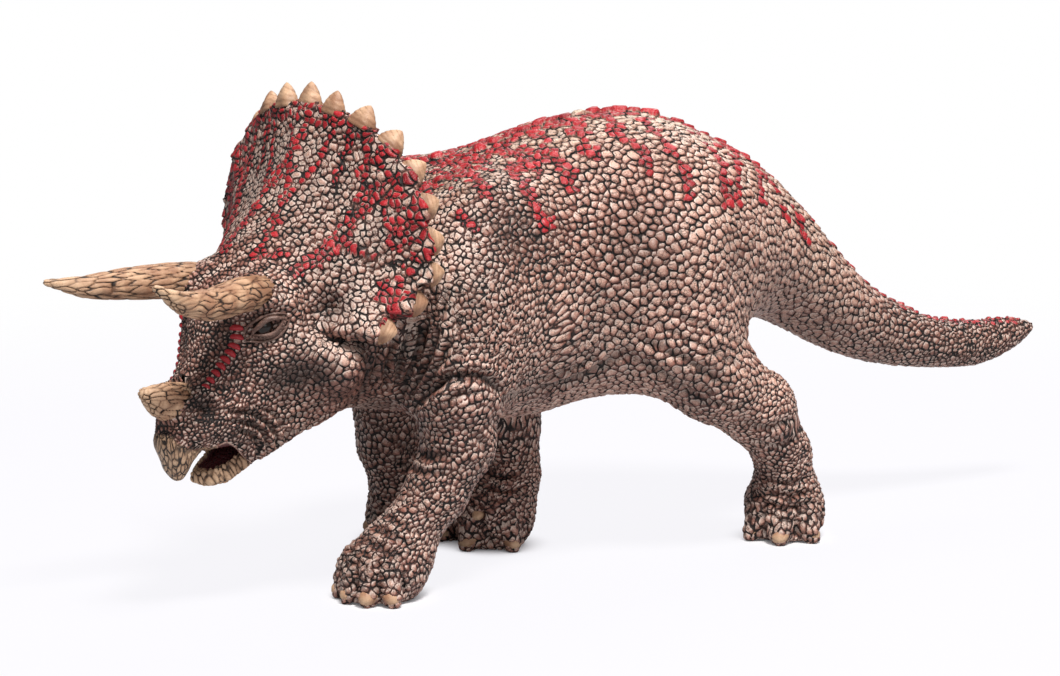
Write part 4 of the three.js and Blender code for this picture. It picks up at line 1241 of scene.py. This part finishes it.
class Shader:
    """A material, or a world, whose node tree is written as expressions."""

    def __init__(self, owner):
        self.owner = owner
        owner.use_nodes = True
        self.tree = owner.node_tree
        self.tree.nodes.clear()

    def make(self, kind, settings, values, output):
        """Any node: its settings first, then the values or links of its sockets, then the output wanted."""
        node = self.tree.nodes.new(kind)
        for name, setting in settings.items():
            setattr(node, name, setting)
        for name, value in values.items():
            socket = node.inputs[name]
            if isinstance(value, Value):
                self.tree.links.new(value.socket, socket)
            elif hasattr(socket.default_value, "__len__") and len(value) < len(socket.default_value):
                socket.default_value = (*value, 1)
            else:
                socket.default_value = value
        return Value(self, node.outputs[output])

    def maths(self, operation, *parts):
        return self.make("ShaderNodeMath", {"operation": operation}, dict(enumerate(parts)), "Value")

    def vector(self, operation, a, b, output="Vector"):
        return self.make("ShaderNodeVectorMath", {"operation": operation}, {0: a, 1: b}, output)

    def mark(self, name):
        """A number stored on the vertices."""
        return self.make("ShaderNodeAttribute", {"attribute_name": name}, {}, "Fac")

    def mix(self, share, a, b):
        """From colour a to colour b."""
        return self.make("ShaderNodeMix", {"data_type": "RGBA"}, {0: share, 6: a, 7: b}, 2)

    def place(self, stretch=(1000, 1000, 1000)):
        """Places on the object in millimetres."""
        return self.vector("MULTIPLY", self.make("ShaderNodeTexCoord", {}, {}, "Object"), stretch)

    def noise(self, scale, detail=2, stretch=(1000, 1000, 1000), output="Fac"):
        """Noise whose lumps are about 1/scale mm."""
        values = {"Vector": self.place(stretch), "Scale": scale, "Detail": detail}
        return self.make("ShaderNodeTexNoise", {}, values, output)

    def finish(self, surface, kind="Material"):
        output = self.tree.nodes.new("ShaderNodeOutput" + kind)
        self.tree.links.new(surface.socket, output.inputs["Surface"])
        return self.owner

    def plastic(self, colour, roughness, height=None, **more):
        """The surface of a piece. The height is in millimetres."""
        values = {"Base Color": colour, "Roughness": roughness}
        if height is not None:
            relief = {"Height": height, "Distance": MM, "Strength": 1}
            values["Normal"] = self.make("ShaderNodeBump", {}, relief, "Normal")
        values.update({name.replace("_", " "): value for name, value in more.items()})
        return self.finish(self.make("ShaderNodeBsdfPrincipled", {}, values, "BSDF"))


def painting(name):
    return Shader(bpy.data.materials.new(name))


def srgb(red, green, blue):
    """A colour as read off the photograph, 0 to 255, for a shader."""
    return tuple(((v / 255 + 0.055) / 1.055) ** 2.4 if v > 10 else v / 255 / 12.92 for v in (red, green, blue))


# %% [markdown]
# ## Hide and horn
# The real figure is cast in a brown plastic, washed with thin black paint that stays in the grooves, and dry
# brushed with a pale one that takes only on the tops. Red is put on scale by scale. The paint here is laid in
# the same order, from the marks on the vertices: body colour, which is paler along the ridge of the back, then
# pale tops, red, and the dark wash last. Painted light goes in between: the tops are paler on the upper side of
# each scale as painted highlight, a bright rim on each scale's upper edge is a painted highlight, the lower
# edge of each scale and the creases of the folds get painted shade, and dark patches are partly darker paint
# and partly painted shade. The pin of the jaw keeps its solid and is dull steel.

# %% Paints
def horny_colour(s, along, gap):
    """Tan horn with dark cracks, browner at the root. Also gives a height for the bump."""
    broad, fine = s.noise(0.35, 3), s.noise(3.2, 3)
    colour = s.mix(broad.between(0.35, 0.68), srgb(176, 132, 104), srgb(220, 180, 146))
    colour = s.mix(along.between(0.55, 1.0) * 0.6, colour, srgb(230, 198, 164))
    colour = s.mix(fine.between(0.52, 0.74) * 0.35, colour, srgb(140, 92, 62))
    colour = s.mix((1 - along.between(0.0, 0.3)) * 0.55, colour, srgb(120, 84, 62))
    crack = (1 - gap.between(0.04, 0.15)) * (0.4 + 0.6 * s.noise(0.5, 2).between(0.36, 0.56))
    colour = s.mix((1 - gap.between(0.05, 0.4)) * 0.45, colour, srgb(132, 88, 62))
    colour = s.mix(crack * 0.97, colour, srgb(22, 13, 10))
    return colour, gap.between(0, 0.14) * 0.14 + fine * 0.06


def cracks(s, stretch, scale):
    """Distance to the nearest of a net of long cracks, in mm."""
    wobble = s.vector("MULTIPLY", s.noise(0.5, 2, output="Color"), (0.7, 0.7, 0.7))
    where = s.vector("ADD", s.place(stretch), wobble)
    settings = {"feature": "DISTANCE_TO_EDGE"}
    net = s.make("ShaderNodeTexVoronoi", settings, {"Vector": where, "Scale": scale}, "Distance")
    return s.maths("DIVIDE", net, scale)


def hide_paint():
    s = painting("hide_paint")
    gap, cell, smudge_and_shade, low = s.mark("gap"), s.mark("cell"), s.mark("smudge_and_shade"), s.mark("low")
    broad, middle, fine = s.noise(0.07), s.noise(0.6, 3), s.noise(4, 3)
    pale = s.mark("pale") * (0.5 + 0.5 * broad)
    body = s.mix(cell, srgb(112, 64, 55), srgb(166, 110, 95))
    light = s.mix(pale, srgb(198, 144, 125), srgb(194, 168, 140))
    body = s.mix((broad * 0.6 + middle * 0.4).between(0.36, 0.64) * 0.5 + 0.3 * pale, body, light)
    # Pale dry brush on the scale tops, made paler on the upper side of each scale as painted highlight.
    dry_brush_and_highlight = (gap.between(0.12, 0.6) * (middle * 0.8 + fine * 1.1 - 0.5 - 0.5 * low)).between(0.0, 0.7)
    body = s.mix(dry_brush_and_highlight * (1 - 0.6 * smudge_and_shade), body, s.mix(pale, srgb(242, 200, 180), srgb(238, 221, 196)))
    # Painted highlight: a near-white rim along the upper edge of each scale.
    rim = gap.between(0.1, 0.18) * (1 - gap.between(0.24, 0.5)) * (0.1 - low).between(0.0, 0.35)
    body = s.mix(rim * (0.4 + fine) * 0.85, body, srgb(250, 228, 214))
    wrinkle = (1 - cracks(s, (1000, 1000, 1500), 1.3).between(0.02, 0.09)) * middle.between(0.46, 0.58)
    body = s.mix(wrinkle * 0.7, body, srgb(48, 31, 26))
    # Dark patches: partly darker paint, partly painted shade in hollows and under the neck.
    body = s.mix(smudge_and_shade * (0.5 + 0.5 * middle), body, srgb(60, 42, 35))
    plate = s.mix(cell, srgb(138, 16, 28), srgb(192, 36, 46))
    plate = s.mix(fine.between(0.5, 0.75) * 0.35, plate, srgb(206, 92, 88))
    colour = s.mix(s.mark("red") * (gap + 0.3 * middle).between(0.24, 0.36), body, plate)
    thick = s.noise(0.5, 3).between(0.36, 0.62)
    wash = (1 - (gap - 0.13 * thick).between(0.01, 0.08)) * (0.7 + 0.3 * thick)
    # Painted shade: dark round each groove, most along the lower edge of each scale.
    painted_shade_below_scale = (1 - gap.between(0.05, 0.34)) * (low + 0.15).between(-0.1, 0.45)
    colour = s.mix(painted_shade_below_scale * (0.45 + 0.7 * broad), colour, srgb(52, 31, 26))
    # Painted shade in the creases of the narrow folds.
    colour = s.mix(s.mark("crease_shade") * 0.85, colour, srgb(36, 24, 20))
    colour = s.mix(wash * 0.98, colour, srgb(14, 8, 7))
    height = gap.between(0, 0.16) * 0.17 + gap.between(0, 0.6) * 0.05
    height = height + fine * 0.11 + middle * 0.06 - wrinkle * 0.05
    horn_colour, horn_height = horny_colour(s, middle + 0.4, cracks(s, (1500, 1500, 330), 1.0))
    is_horn = (s.mark("horny") + 1.8 * (middle - 0.5)).between(-0.35, 0.5)
    wet = s.mark("mouth").between(-0.1, 0.3)
    colour = s.mix(wet, s.mix(is_horn, colour, horn_colour), s.mix(middle, srgb(52, 18, 20), srgb(96, 34, 38)))
    height = height * (1 - is_horn) + horn_height * is_horn
    return s.plastic(colour, 0.27 + 0.2 * middle + 0.3 * wash - 0.08 * wet, height, Specular_IOR_Level=0.55)


def horn_paint():
    s = painting("horn_paint")
    colour, height = horny_colour(s, s.mark("along"), s.mark("gap"))
    inner = s.mix(s.noise(1.5), srgb(52, 18, 20), srgb(104, 36, 42))
    colour = s.mix(s.mark("mouth").between(0.3, 0.8), colour, inner)
    return s.plastic(colour, 0.44 + 0.16 * s.noise(2), height, Specular_IOR_Level=0.45)


def eye_paint():
    s = painting("eye_paint")
    colour = s.mix(s.noise(1.2, 3).between(0.4, 0.7), srgb(14, 9, 8), srgb(46, 24, 14))
    return s.plastic(colour, 0.16 + 0.08 * s.noise(3), Specular_IOR_Level=0.45)


def lid_paint():
    s = painting("lid")
    fine, middle = s.noise(4, 3), s.noise(0.9, 3)
    colour = s.mix(middle, srgb(62, 43, 37), srgb(138, 104, 92))
    colour = s.mix(fine.between(0.55, 0.75) * 0.5, colour, srgb(200, 172, 156))
    values = {"Vector": s.place(), "Scale": 0.5, "Distortion": 3.0}
    ribs = s.make("ShaderNodeTexWave", {"bands_direction": "Z"}, values, "Fac")
    return s.plastic(colour, 0.42 + 0.1 * middle, fine * 0.08 + ribs * 0.03)


def ridge_paint():
    s = painting("ridge")
    top, fine = s.mark("along"), s.noise(3, 3)
    colour = s.mix(top.between(0.2, 0.55), srgb(44, 28, 25), srgb(172, 34, 44))
    colour = s.mix(fine.between(0.55, 0.75) * 0.4 * top, colour, srgb(206, 110, 100))
    return s.plastic(colour, 0.38 + 0.15 * fine, fine * 0.08)


def pin_paint():
    """Dull steel with fine scratches round it."""
    s = painting("pin_paint")
    scratch = s.noise(2, 4, (300, 6000, 300))
    colour = s.mix(s.noise(1.2), srgb(112, 110, 108), srgb(158, 155, 150))
    return s.plastic(colour, 0.32 + 0.25 * scratch, scratch * 0.02, Metallic=0.9)


hide, horn, eye, lid, ridge_red = hide_paint(), horn_paint(), eye_paint(), lid_paint(), ridge_paint()
for piece, node in hides:
    dressed(piece, hide, node=node)
bpy.data.objects["jaw_pin"].data.materials[0] = pin_paint()
print("paints:", [paint.name for paint in (hide, horn, eye, lid, ridge_red)])

# %% [markdown]
# ## Horns
# The brow horns and the nose horn are bone-coloured plastic with long dark cracks. Each is a tube swept along
# the middle line of its solid by Geometry Nodes, and then divided into long, thin cells, whose borders are
# the cracks.

# %% Sweep along a path with Geometry Nodes
def swept(name, path, radii, sides, material):
    """A tube along a path, closed at both ends."""
    nodes = {
        "curve": ("GeometryNodeMeshToCurve", {}),
        "radius": ("GeometryNodeInputNamedAttribute", {"data_type": "FLOAT", "Name": "radius"}),
        "ring": ("GeometryNodeCurvePrimitiveCircle", {"Radius": 1}),
        "sweep": ("GeometryNodeCurveToMesh", {"Fill Caps": True}),
    }
    tree, (sides_socket,) = geometry_tree("sweep", [("Sides", "Int")], nodes, [
        ("in", "Geometry", "curve", "Mesh"), ("radius", "Attribute", "sweep", "Scale"),
        ("in", "Sides", "ring", "Resolution"), ("curve", "Curve", "sweep", "Curve"),
        ("ring", "Curve", "sweep", "Profile Curve"),
    ], ("sweep", "Mesh"), material)
    mesh = bpy.data.meshes.new(name)
    mesh.from_pydata(np.asarray(path).tolist(), [(i, i + 1) for i in range(len(path) - 1)], [])
    store(mesh, "radius", np.asarray(radii))
    result = evaluated(mesh, "NODES", {"node_group": tree}, {sides_socket: sides})
    bm = bmesh.new()
    bm.from_mesh(result)
    bmesh.ops.remove_doubles(bm, verts=bm.verts, dist=0.01 * MM)
    bmesh.ops.triangulate(bm, faces=[f for f in bm.faces if len(f.verts) > 4])
    bmesh.ops.recalc_face_normals(bm, faces=bm.faces)
    bm.to_mesh(result)
    bm.free()
    result.shade_smooth()
    result.name = name
    return result


def rings_of(name, way):
    """The middle and radius of each ring of a solid horn, from root to tip."""
    bm = merged(name)
    co = np.array([v.co[:] for v in bm.verts])
    bm.free()
    along = co @ way
    order = np.argsort(along)
    breaks = np.nonzero(np.diff(along[order]) > 0.75 * MM)[0] + 1
    rings = [co[group] for group in np.split(order, breaks)]
    middles = np.array([ring.mean(axis=0) for ring in rings])
    return middles, np.array([lengths(ring - middle).mean() for ring, middle in zip(rings, middles)])


def cracked(mesh, way, stretch, spacing, depth, number, share=0.6):
    """Presses a net of cracks, drawn out along a way, into a horn, and marks the distance to them."""
    co = places_of(mesh)

    def space(points):
        where = points + ripple(points, 0.25 * MM, 3.0 * MM, number)
        return where - (1 - 1 / stretch) * (where @ way)[:, None] * way

    rng = np.random.default_rng(number)
    cloud = space(co)[rng.permutation(len(co))]
    seeds, sizes = thinned(cloud, np.full(len(cloud), spacing), cloud[:0], cloud[:0, 0])
    own, gap, _, _ = Scales(seeds, sizes, space, number).measure(co)
    kept = rng.random(len(seeds)) < share
    gap = np.where(kept[own], gap, gap + 0.08 * MM)
    bm = bmesh.new()
    bm.from_mesh(mesh)
    bm.normal_update()
    normal = np.array([v.normal[:] for v in bm.verts])
    bm.free()
    deep = depth * np.exp(-(gap / (0.12 * MM)) ** 2)
    swell = 0.08 * spacing * np.sqrt(np.clip(gap / (0.4 * spacing), 0, 1))
    put_places(mesh, co + normal * (swell - deep - 0.04 * spacing)[:, None])
    store(mesh, "gap", gap / MM)
    mesh.update()
    return mesh


# %% Brow horns and nose horn
# Each horn: the way it points in the head's frame, how far its middle line departs upwards from the solid's
# at points from root to tip, in mm, and how wide its root is as a share of the solid's.
horns = {
    "brow_horn_left": ((-1, -0.22, 0.02), [0, 0.2, -0.9, -1.0, 0.4], 0.95),
    "brow_horn_right": ((-1, 0.22, 0.02), [0, 0.3, 0.2, -0.3, 0.3], 1.0),
    "nose_horn": ((-1, 0, 0.1), [-0.9, -0.9, -0.4, 0.4, 1.3], 0.95),
}


def horn_piece(name):
    way, bend, root_share = horns[name]
    way = unit(way) @ head_axes
    middles, radii = rings_of(name, way)
    rows = np.linspace(0, 1, 160)
    line = curved(middles, 12)
    steps = np.round(np.linspace(0, len(middles) - 1.001, len(rows)) * 12).astype(int)
    path = line[np.minimum(steps, len(line) - 1)]
    radius = np.interp(rows, np.linspace(0, 1, len(middles)), radii)
    widest = radius.max()
    for row, passes in ((path, 30), (radius, 20)):
        for _ in range(passes):
            row[1:-1] = (row[:-2] + 2 * row[1:-1] + row[2:]) / 4
    path[:, 2] += np.interp(rows, np.linspace(0, 1, len(bend)), bend) * MM
    blunt = np.clip((rows - 0.9) / 0.1, 0, 1)
    radius = np.maximum(radius, widest * 0.3 * (rows > 0.5)) * np.sqrt(np.maximum(1 - blunt ** 2, 1e-4))
    radius *= blend(root_share, 1.0, rows / 0.5)
    mesh = swept(name + "_shape", path, radius, 96, horn)
    whole = middles[-1] - middles[0]
    store(mesh, "along", (places_of(mesh) - middles[0]) @ whole / whole.dot(whole))
    return cracked(mesh, way, 5.5, 0.9 * MM, 0.14 * MM, 21 + len(name))


for name in horns:
    obj = placed(name + "_shape", horn_piece(name))
    dressed(obj, horn, node=name)
    print(name, "faces:", len(obj.data.polygons))

# %% [markdown]
# ## Spikes of the frill
# The same blunt, pale spike repeats nineteen times round the edge. It is made once, with growth rings, and
# Geometry Nodes put a copy at each place, turned and sized by values stored on the points.

# %% One spike
def turned_piece(name, rows, sides, shape):
    """A closed surface whose rings are given by a function of height share and turn."""
    turns = [2 * math.pi * k / sides for k in range(sides)]
    co = np.array([shape(i / (rows - 1), turn) for i in range(rows) for turn in turns])
    faces = []
    for i in range(rows - 1):
        for k in range(sides):
            a, b = i * sides + k, i * sides + (k + 1) % sides
            faces.append((a, b, b + sides, a + sides))
    low, high, top = len(co), len(co) + 1, (rows - 1) * sides
    co = np.concatenate([co, [co[:sides].mean(axis=0)], [co[-sides:].mean(axis=0)]])
    ends = [(low, (k + 1) % sides, k) for k in range(sides)]
    ends += [(high, top + k, top + (k + 1) % sides) for k in range(sides)]
    return mesh_piece(name, co, [np.array(faces), np.array(ends)])


def spike_shape(t, turn):
    """A unit spike: half width 1, length 1, with rings of growth."""
    profile = (1 - t ** 1.5) ** 0.72 if t < 1 else 0.02
    profile *= 1 + 0.02 * math.sin(t * 30 + 1.5 * math.sin(turn)) + 0.06 * math.sin(5 * turn + 3 * t)
    across, deep = (math.copysign(abs(v) ** 0.9, v) * profile for v in (math.cos(turn), math.sin(turn)))
    return across, deep, -0.3 + 1.3 * t


# %% Copies on points with Geometry Nodes
def copies(name, source, places, axes, sizes, material):
    """One mesh with a copy of the source at each place. axes: the way of each copy's X, Y and Z."""
    vector = {"data_type": "FLOAT_VECTOR"}
    nodes = {
        "source": ("GeometryNodeObjectInfo", {"Object": source}),
        "turn": ("GeometryNodeInputNamedAttribute", {**vector, "Name": "turn"}),
        "size": ("GeometryNodeInputNamedAttribute", {**vector, "Name": "size"}),
        "rotation": ("FunctionNodeEulerToRotation", {}),
        "points": ("GeometryNodeMeshToPoints", {}),
        "copy": ("GeometryNodeInstanceOnPoints", {}),
    }
    tree, _ = geometry_tree("copies", [], nodes, [
        ("in", "Geometry", "points", "Mesh"), ("points", "Points", "copy", "Points"),
        ("source", "Geometry", "copy", "Instance"), ("turn", "Attribute", "rotation", "Euler"),
        ("rotation", "Rotation", "copy", "Rotation"), ("size", "Attribute", "copy", "Scale"),
    ], ("copy", "Instances"), material)
    mesh = bpy.data.meshes.new(name)
    mesh.from_pydata(np.asarray(places).tolist(), [], [])
    store(mesh, "turn", np.array([Matrix(np.asarray(a).T.tolist()).to_euler()[:] for a in axes]))
    store(mesh, "size", np.array(sizes))
    obj = placed(name, evaluated(mesh, "NODES", {"node_group": tree}))
    dressed(obj, material)
    return obj


spike = turned_piece("spike", 26, 26, spike_shape)
x, y, z = places_of(spike.data).T
store(spike.data, "along", np.clip(z * 0.7, 0, 1))
store(spike.data, "gap", 0.07 + 0.5 * np.abs(np.sin(z * 9 + 2.4 * x + 1.7 * y)))
rng = np.random.default_rng(19)
places, axes, sizes = [], [], []
for angle, (foot, out, along, length) in zip(spike_angles, spike_frames):
    chance = rng.uniform(0.92, 1.1)
    places.append(foot + out * (rim_target(angle) - 0.3 * MM))
    axes.append([along, np.cross(out, along), out])
    sizes.append([2.6 * MM * chance, 1.85 * MM * chance, length * rng.uniform(0.56, 0.66)])
spikes = copies("frill_spikes", spike, places, axes, sizes, horn)
bpy.data.objects.remove(spike)
print("spikes:", len(places), "faces:", len(spikes.data.polygons))

# %% [markdown]
# ## Nails
# Each toe ends in a rounded, horn-coloured nail with a dark ring where it leaves the skin. The front feet have
# five, the hind feet three on the ground and one on a toe held up at the inner side.

# %% One nail and its copies
def nail_shape(t, turn):
    """A unit nail that points along Z, with grooves along it."""
    profile = math.sqrt(max(1 - t ** 2.6, 0)) if t < 1 else 0.02
    profile *= 1 + 0.03 * math.sin(7 * turn)
    return math.cos(turn) * profile, math.sin(turn) * profile, -0.35 + 1.35 * t


nail = turned_piece("nail", 12, 20, nail_shape)
x, y, z = places_of(nail.data).T
store(nail.data, "along", np.clip(z * 0.9, 0, 1))
store(nail.data, "gap", np.clip(z * 1.2, 0, 1) + 0.12 * np.abs(np.sin(7 * np.arctan2(y, x))))
for name, (middle, heading, angles, raised, share) in feet.items():
    places, axes, sizes = [], [], []
    rows = [(heading + angle, 2.1 * MM, -0.4, (1.8, 1.6, 2.6)) for angle in angles]
    if raised is not None:
        rows.append((raised, 7.0 * MM, -0.6, (1.3, 1.1, 1.7)))
    for turn, height, dip, size in rows:
        level = heading_way(math.radians(turn))
        out = unit(level + [0, 0, dip])
        aside = heading_way(math.radians(turn + 90))
        places.append(middle + level * (toe_reach * share + 0.2 * MM) + [0, 0, height])
        axes.append([aside, np.cross(out, aside), out])
        sizes.append(np.array(size) * MM * rng.uniform(0.92, 1.08))
    nails = copies(name + "_nails", nail, places, axes, sizes, horn)
    co = places_of(nails.data)
    co[:, 2] = np.maximum(co[:, 2], 0.12 * MM)
    put_places(nails.data, co)
bpy.data.objects.remove(nail)
print("feet with nails:", len(feet))

# %% [markdown]
# ## Eyes
# Each eye is a glossy dark ball behind almond-shaped lids, which rise towards the back. The lids are rolls of
# hide swept along the edge of the almond, with a row of small beads below the lower one.

# %% Eyeballs and lids
eye_radius = 1.9 * MM
eye_slope = math.radians(34)
# Each roll of the lids: its size as a share of the almond, whether it is a lower one, and its half width and
# lift in mm.
lid_rolls = [
    (1.0, False, 0.5, 0.32), (1.0, True, 0.36, 0.22), (1.45, False, 0.28, 0.0), (1.4, True, 0.24, 0.0),
    (1.8, True, 0.22, -0.04),
]


def ball_shape(pole):
    """A unit ball. The pole is the height share below which its rings don't get narrower."""
    def shape(t, turn):
        ring = math.sin(max(t, pole) * 3.1)
        return ring * math.cos(turn), ring * math.sin(turn), -math.cos(t * 3.1)
    return shape


def almond(sign, middle, share, lower, reach=1.0, lift=0.2 * MM, steps=17):
    """The upper or lower edge of an almond round the eye, laid on the skin."""
    back = np.array([math.cos(eye_slope), 0, math.sin(eye_slope)])
    above = np.array([-math.sin(eye_slope), 0, math.cos(eye_slope)])
    side = np.array([0, sign, 0]) @ head_axes
    points = []
    for t in np.linspace(-reach, reach, steps):
        rise = (1 - t * t) * (-1.3 if lower else 1.4) * MM * share
        p = middle + (back * t * 2.45 * MM * share + above * rise) @ head_axes
        hit = base_tree.ray_cast(Vector(p + side * 8 * MM), Vector(-side))[0]
        points.append(np.array(hit[:]) + side * lift if hit is not None else p)
    return np.array(points)


for side, sign in (("left", -1), ("right", 1)):
    middle = np.mean(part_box("eye_" + side), axis=0)
    out = np.array([0, sign, 0]) @ head_axes
    ball = turned_piece("eyeball_" + side, 24, 32, ball_shape(0.001))
    put_places(ball.data, places_of(ball.data) * eye_radius * 0.95 + middle + out * 0.3 * MM)
    dressed(ball, eye, node="eye_" + side)
    rolls = []
    for share, lower, thick, lift in lid_rolls:
        path = curved(almond(sign, middle, share, lower, 1.0, lift * MM), 3)
        fade = np.sin(np.linspace(0.04, 0.96, len(path)) * math.pi) ** 0.45
        rolls.append(swept("roll", path, thick * MM * fade, 14, lid))
    dressed(placed("eyelids_" + side, joined(rolls, "eyelids_" + side)), lid)
print("rolls of each eye's lids:", len(rolls))


# %% Beads below the eye and red ridges on the face
def crescent_shape(t, turn):
    """A unit ridge that lies across a path, thick in the middle, its ends swept back."""
    across = -1 + 2 * t
    thick = math.sqrt(max(1 - across * across, 0.0004))
    return across, math.cos(turn) * thick + 0.5 * across * across, math.sin(turn) * thick


def laid_copies(name, source, points, sizes, material, lift=0.0):
    """Copies along a path on the head's skin, each across the path and standing on the skin."""
    places, axes = [], []
    for i, p in enumerate(points):
        ahead = points[min(i + 1, len(points) - 1)] - points[max(i - 1, 0)]
        normal = np.array(base_tree.find_nearest(Vector(p))[1][:])
        ahead = unit(ahead - normal * ahead.dot(normal))
        places.append(p + normal * lift)
        axes.append([np.cross(ahead, normal), ahead, normal])
    copies(name, source, places, axes, sizes, material)


face_ridge_path = [(237, 327), (237, 338), (233, 349), (226, 359), (219, 369), (211, 380), (204, 390)]
crescent = turned_piece("crescent", 13, 12, crescent_shape)
store(crescent.data, "along", np.clip(places_of(crescent.data)[:, 2], 0, 1))
bead = turned_piece("bead", 7, 10, ball_shape(0.01))
near_ridges = on_skin(curved(face_ridge_path))
for side, sign in (("left", -1), ("right", 1)):
    points = near_ridges if side == "left" else across_head(near_ridges)
    points, _ = spaced(points, np.full(len(points), 1.35 * MM))
    taper = np.linspace(1.0, 0.62, len(points))
    sizes = np.stack([1.4 * taper, 0.62 * taper ** 0.5, 0.85 * taper], axis=1) * MM
    laid_copies("face_ridges_" + side, crescent, points, sizes, ridge_red, 0.1 * MM)
    middle = np.mean(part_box("eye_" + side), axis=0)
    row = curved(almond(sign, middle, 1.24, True, 0.9, 0.12 * MM), 4)
    row, _ = spaced(row, np.full(len(row), 0.52 * MM))
    laid_copies("eye_beads_" + side, bead, row, np.full((len(row), 3), 0.27 * MM), lid)
bpy.data.objects.remove(crescent)
bpy.data.objects.remove(bead)
print("face ridges:", len(points), "beads:", len(row))

# %% [markdown]
# ## Lower jaw
# The lower beak is horn with ridges across it, dark where it meets the skin. It is grown from its solid in the
# same way as the hide, and rides on the jaw, so it swings with it.

# %% Jaw
jaw_wall = 1.3 * MM


def jaw_piece():
    """The lower beak, hollowed between its walls."""
    co, faces = remeshed(mesh_of(merged("lower_jaw"), "jaw"), (0.21) * MM)
    co = smooth(co, faces, 24)
    local = in_head(co)
    along = np.clip((-local[:, 0] - 18 * MM) / (15 * MM), 0, 1)
    upper = blend(0.0, 1.0, (normals_of(co, faces)[:, 2] + 0.1) / 0.5)
    place = np.round(local[:, 0] / MM).astype(int)
    widths = {x: np.abs(local[place == x, 1]).max() for x in np.unique(place)}
    width = np.array([widths[x] for x in place.tolist()])
    inner = blend(1.0, 0.0, (np.abs(local[:, 1]) - width + jaw_wall) / (0.7 * MM))
    co[:, 2] -= 2.2 * MM * np.sin(along * math.pi) ** 0.8 * upper * inner
    wet = upper * inner * blend(0.0, 1.0, along * 6) * blend(1.0, 0.0, along * 6 - 5)
    obj = mesh_piece("lower_beak", co, [faces], {"along": 0.35 + 0.65 * along, "mouth": wet})
    cracked(obj.data, np.array([-0.5, 0, 0.86]) @ head_axes, 4.0, 0.85 * MM, 0.16 * MM, 41, 1.0)
    return obj


dressed(jaw_piece(), horn, "jaw", "lower_jaw")

# %% [markdown]
# ## Floor and light
# The photograph is a product shot: a white ground without a horizon, a broad soft light from above and the
# left, and a weak shadow close under the feet. The floor looks white to the camera, darker only in the corners
# where feet stand on it, and is grey to the light that it throws back at the figure.

# %% Floor, sky and lamps
def floor_paint():
    s = painting("floor")
    far = s.vector("LENGTH", s.make("ShaderNodeTexCoord", {}, {}, "Object"), (0, 0, 0), "Value")
    seen = s.make("ShaderNodeLightPath", {}, {}, "Is Camera Ray")
    tone = s.mix(seen, (0.5, 0.5, 0.52), (0.9, 0.895, 0.915))
    lit = s.make("ShaderNodeBsdfDiffuse", {}, {"Color": tone}, "BSDF")
    white = s.make("ShaderNodeEmission", {}, {"Color": srgb(251, 250, 254), "Strength": 1.0}, "Emission")
    open_sky = s.make("ShaderNodeAmbientOcclusion", {"samples": 8}, {"Distance": 6 * MM}, "AO")
    share = seen * 0.93 * (0.1 + 0.9 * open_sky.between(0.1, 0.9))
    ground = s.make("ShaderNodeMixShader", {}, {0: share, 1: lit, 2: white}, "Shader")
    clear = s.make("ShaderNodeBsdfTransparent", {}, {}, "BSDF")
    values = {0: far.between(0.14, 0.3), 1: ground, 2: clear}
    return s.finish(s.make("ShaderNodeMixShader", {}, values, "Shader"))


mesh = bpy.data.meshes.new("floor")
reach = 0.6
corners = [(-reach, -reach, 0), (reach, -reach, 0), (reach, reach, 0), (-reach, reach, 0)]
mesh.from_pydata(corners, [], [(0, 1, 2, 3)])
floor = placed("floor", mesh)
floor.location.z = -0.05 * MM
mesh.materials.append(floor_paint())

scene.world = bpy.data.worlds.new("studio")
sky = Shader(scene.world)
glow, seen = (
    sky.make("ShaderNodeBackground", {}, {"Color": colour, "Strength": strength}, "Background")
    for colour, strength in (((0.96, 0.98, 1), 0.22), ((1, 1, 1), 1.0))
)
is_camera = sky.make("ShaderNodeLightPath", {}, {}, "Is Camera Ray")
sky.finish(sky.make("ShaderNodeMixShader", {}, {0: is_camera, 1: glow, 2: seen}, "Shader"), "World")


def lamp(name, place, size, power, colour=(1, 1, 1)):
    data = bpy.data.lights.new(name, "AREA")
    data.shape = "RECTANGLE"
    data.size, data.size_y = size
    data.energy = power
    data.color = colour
    obj = placed(name, data)
    obj.location = place
    obj.rotation_euler = (target - Vector(place)).to_track_quat("-Z", "Y").to_euler()


lamp("key", (-0.12, -0.4, 0.84), (0.22, 0.18), 10.0, (1, 0.97, 0.94))
lamp("fill", (-0.2, -0.85, 0.25), (0.4, 0.4), 0.9)
lamp("back", (0.5, 0.45, 0.6), (0.5, 0.3), 2.6)
scene.view_settings.view_transform = "Standard"
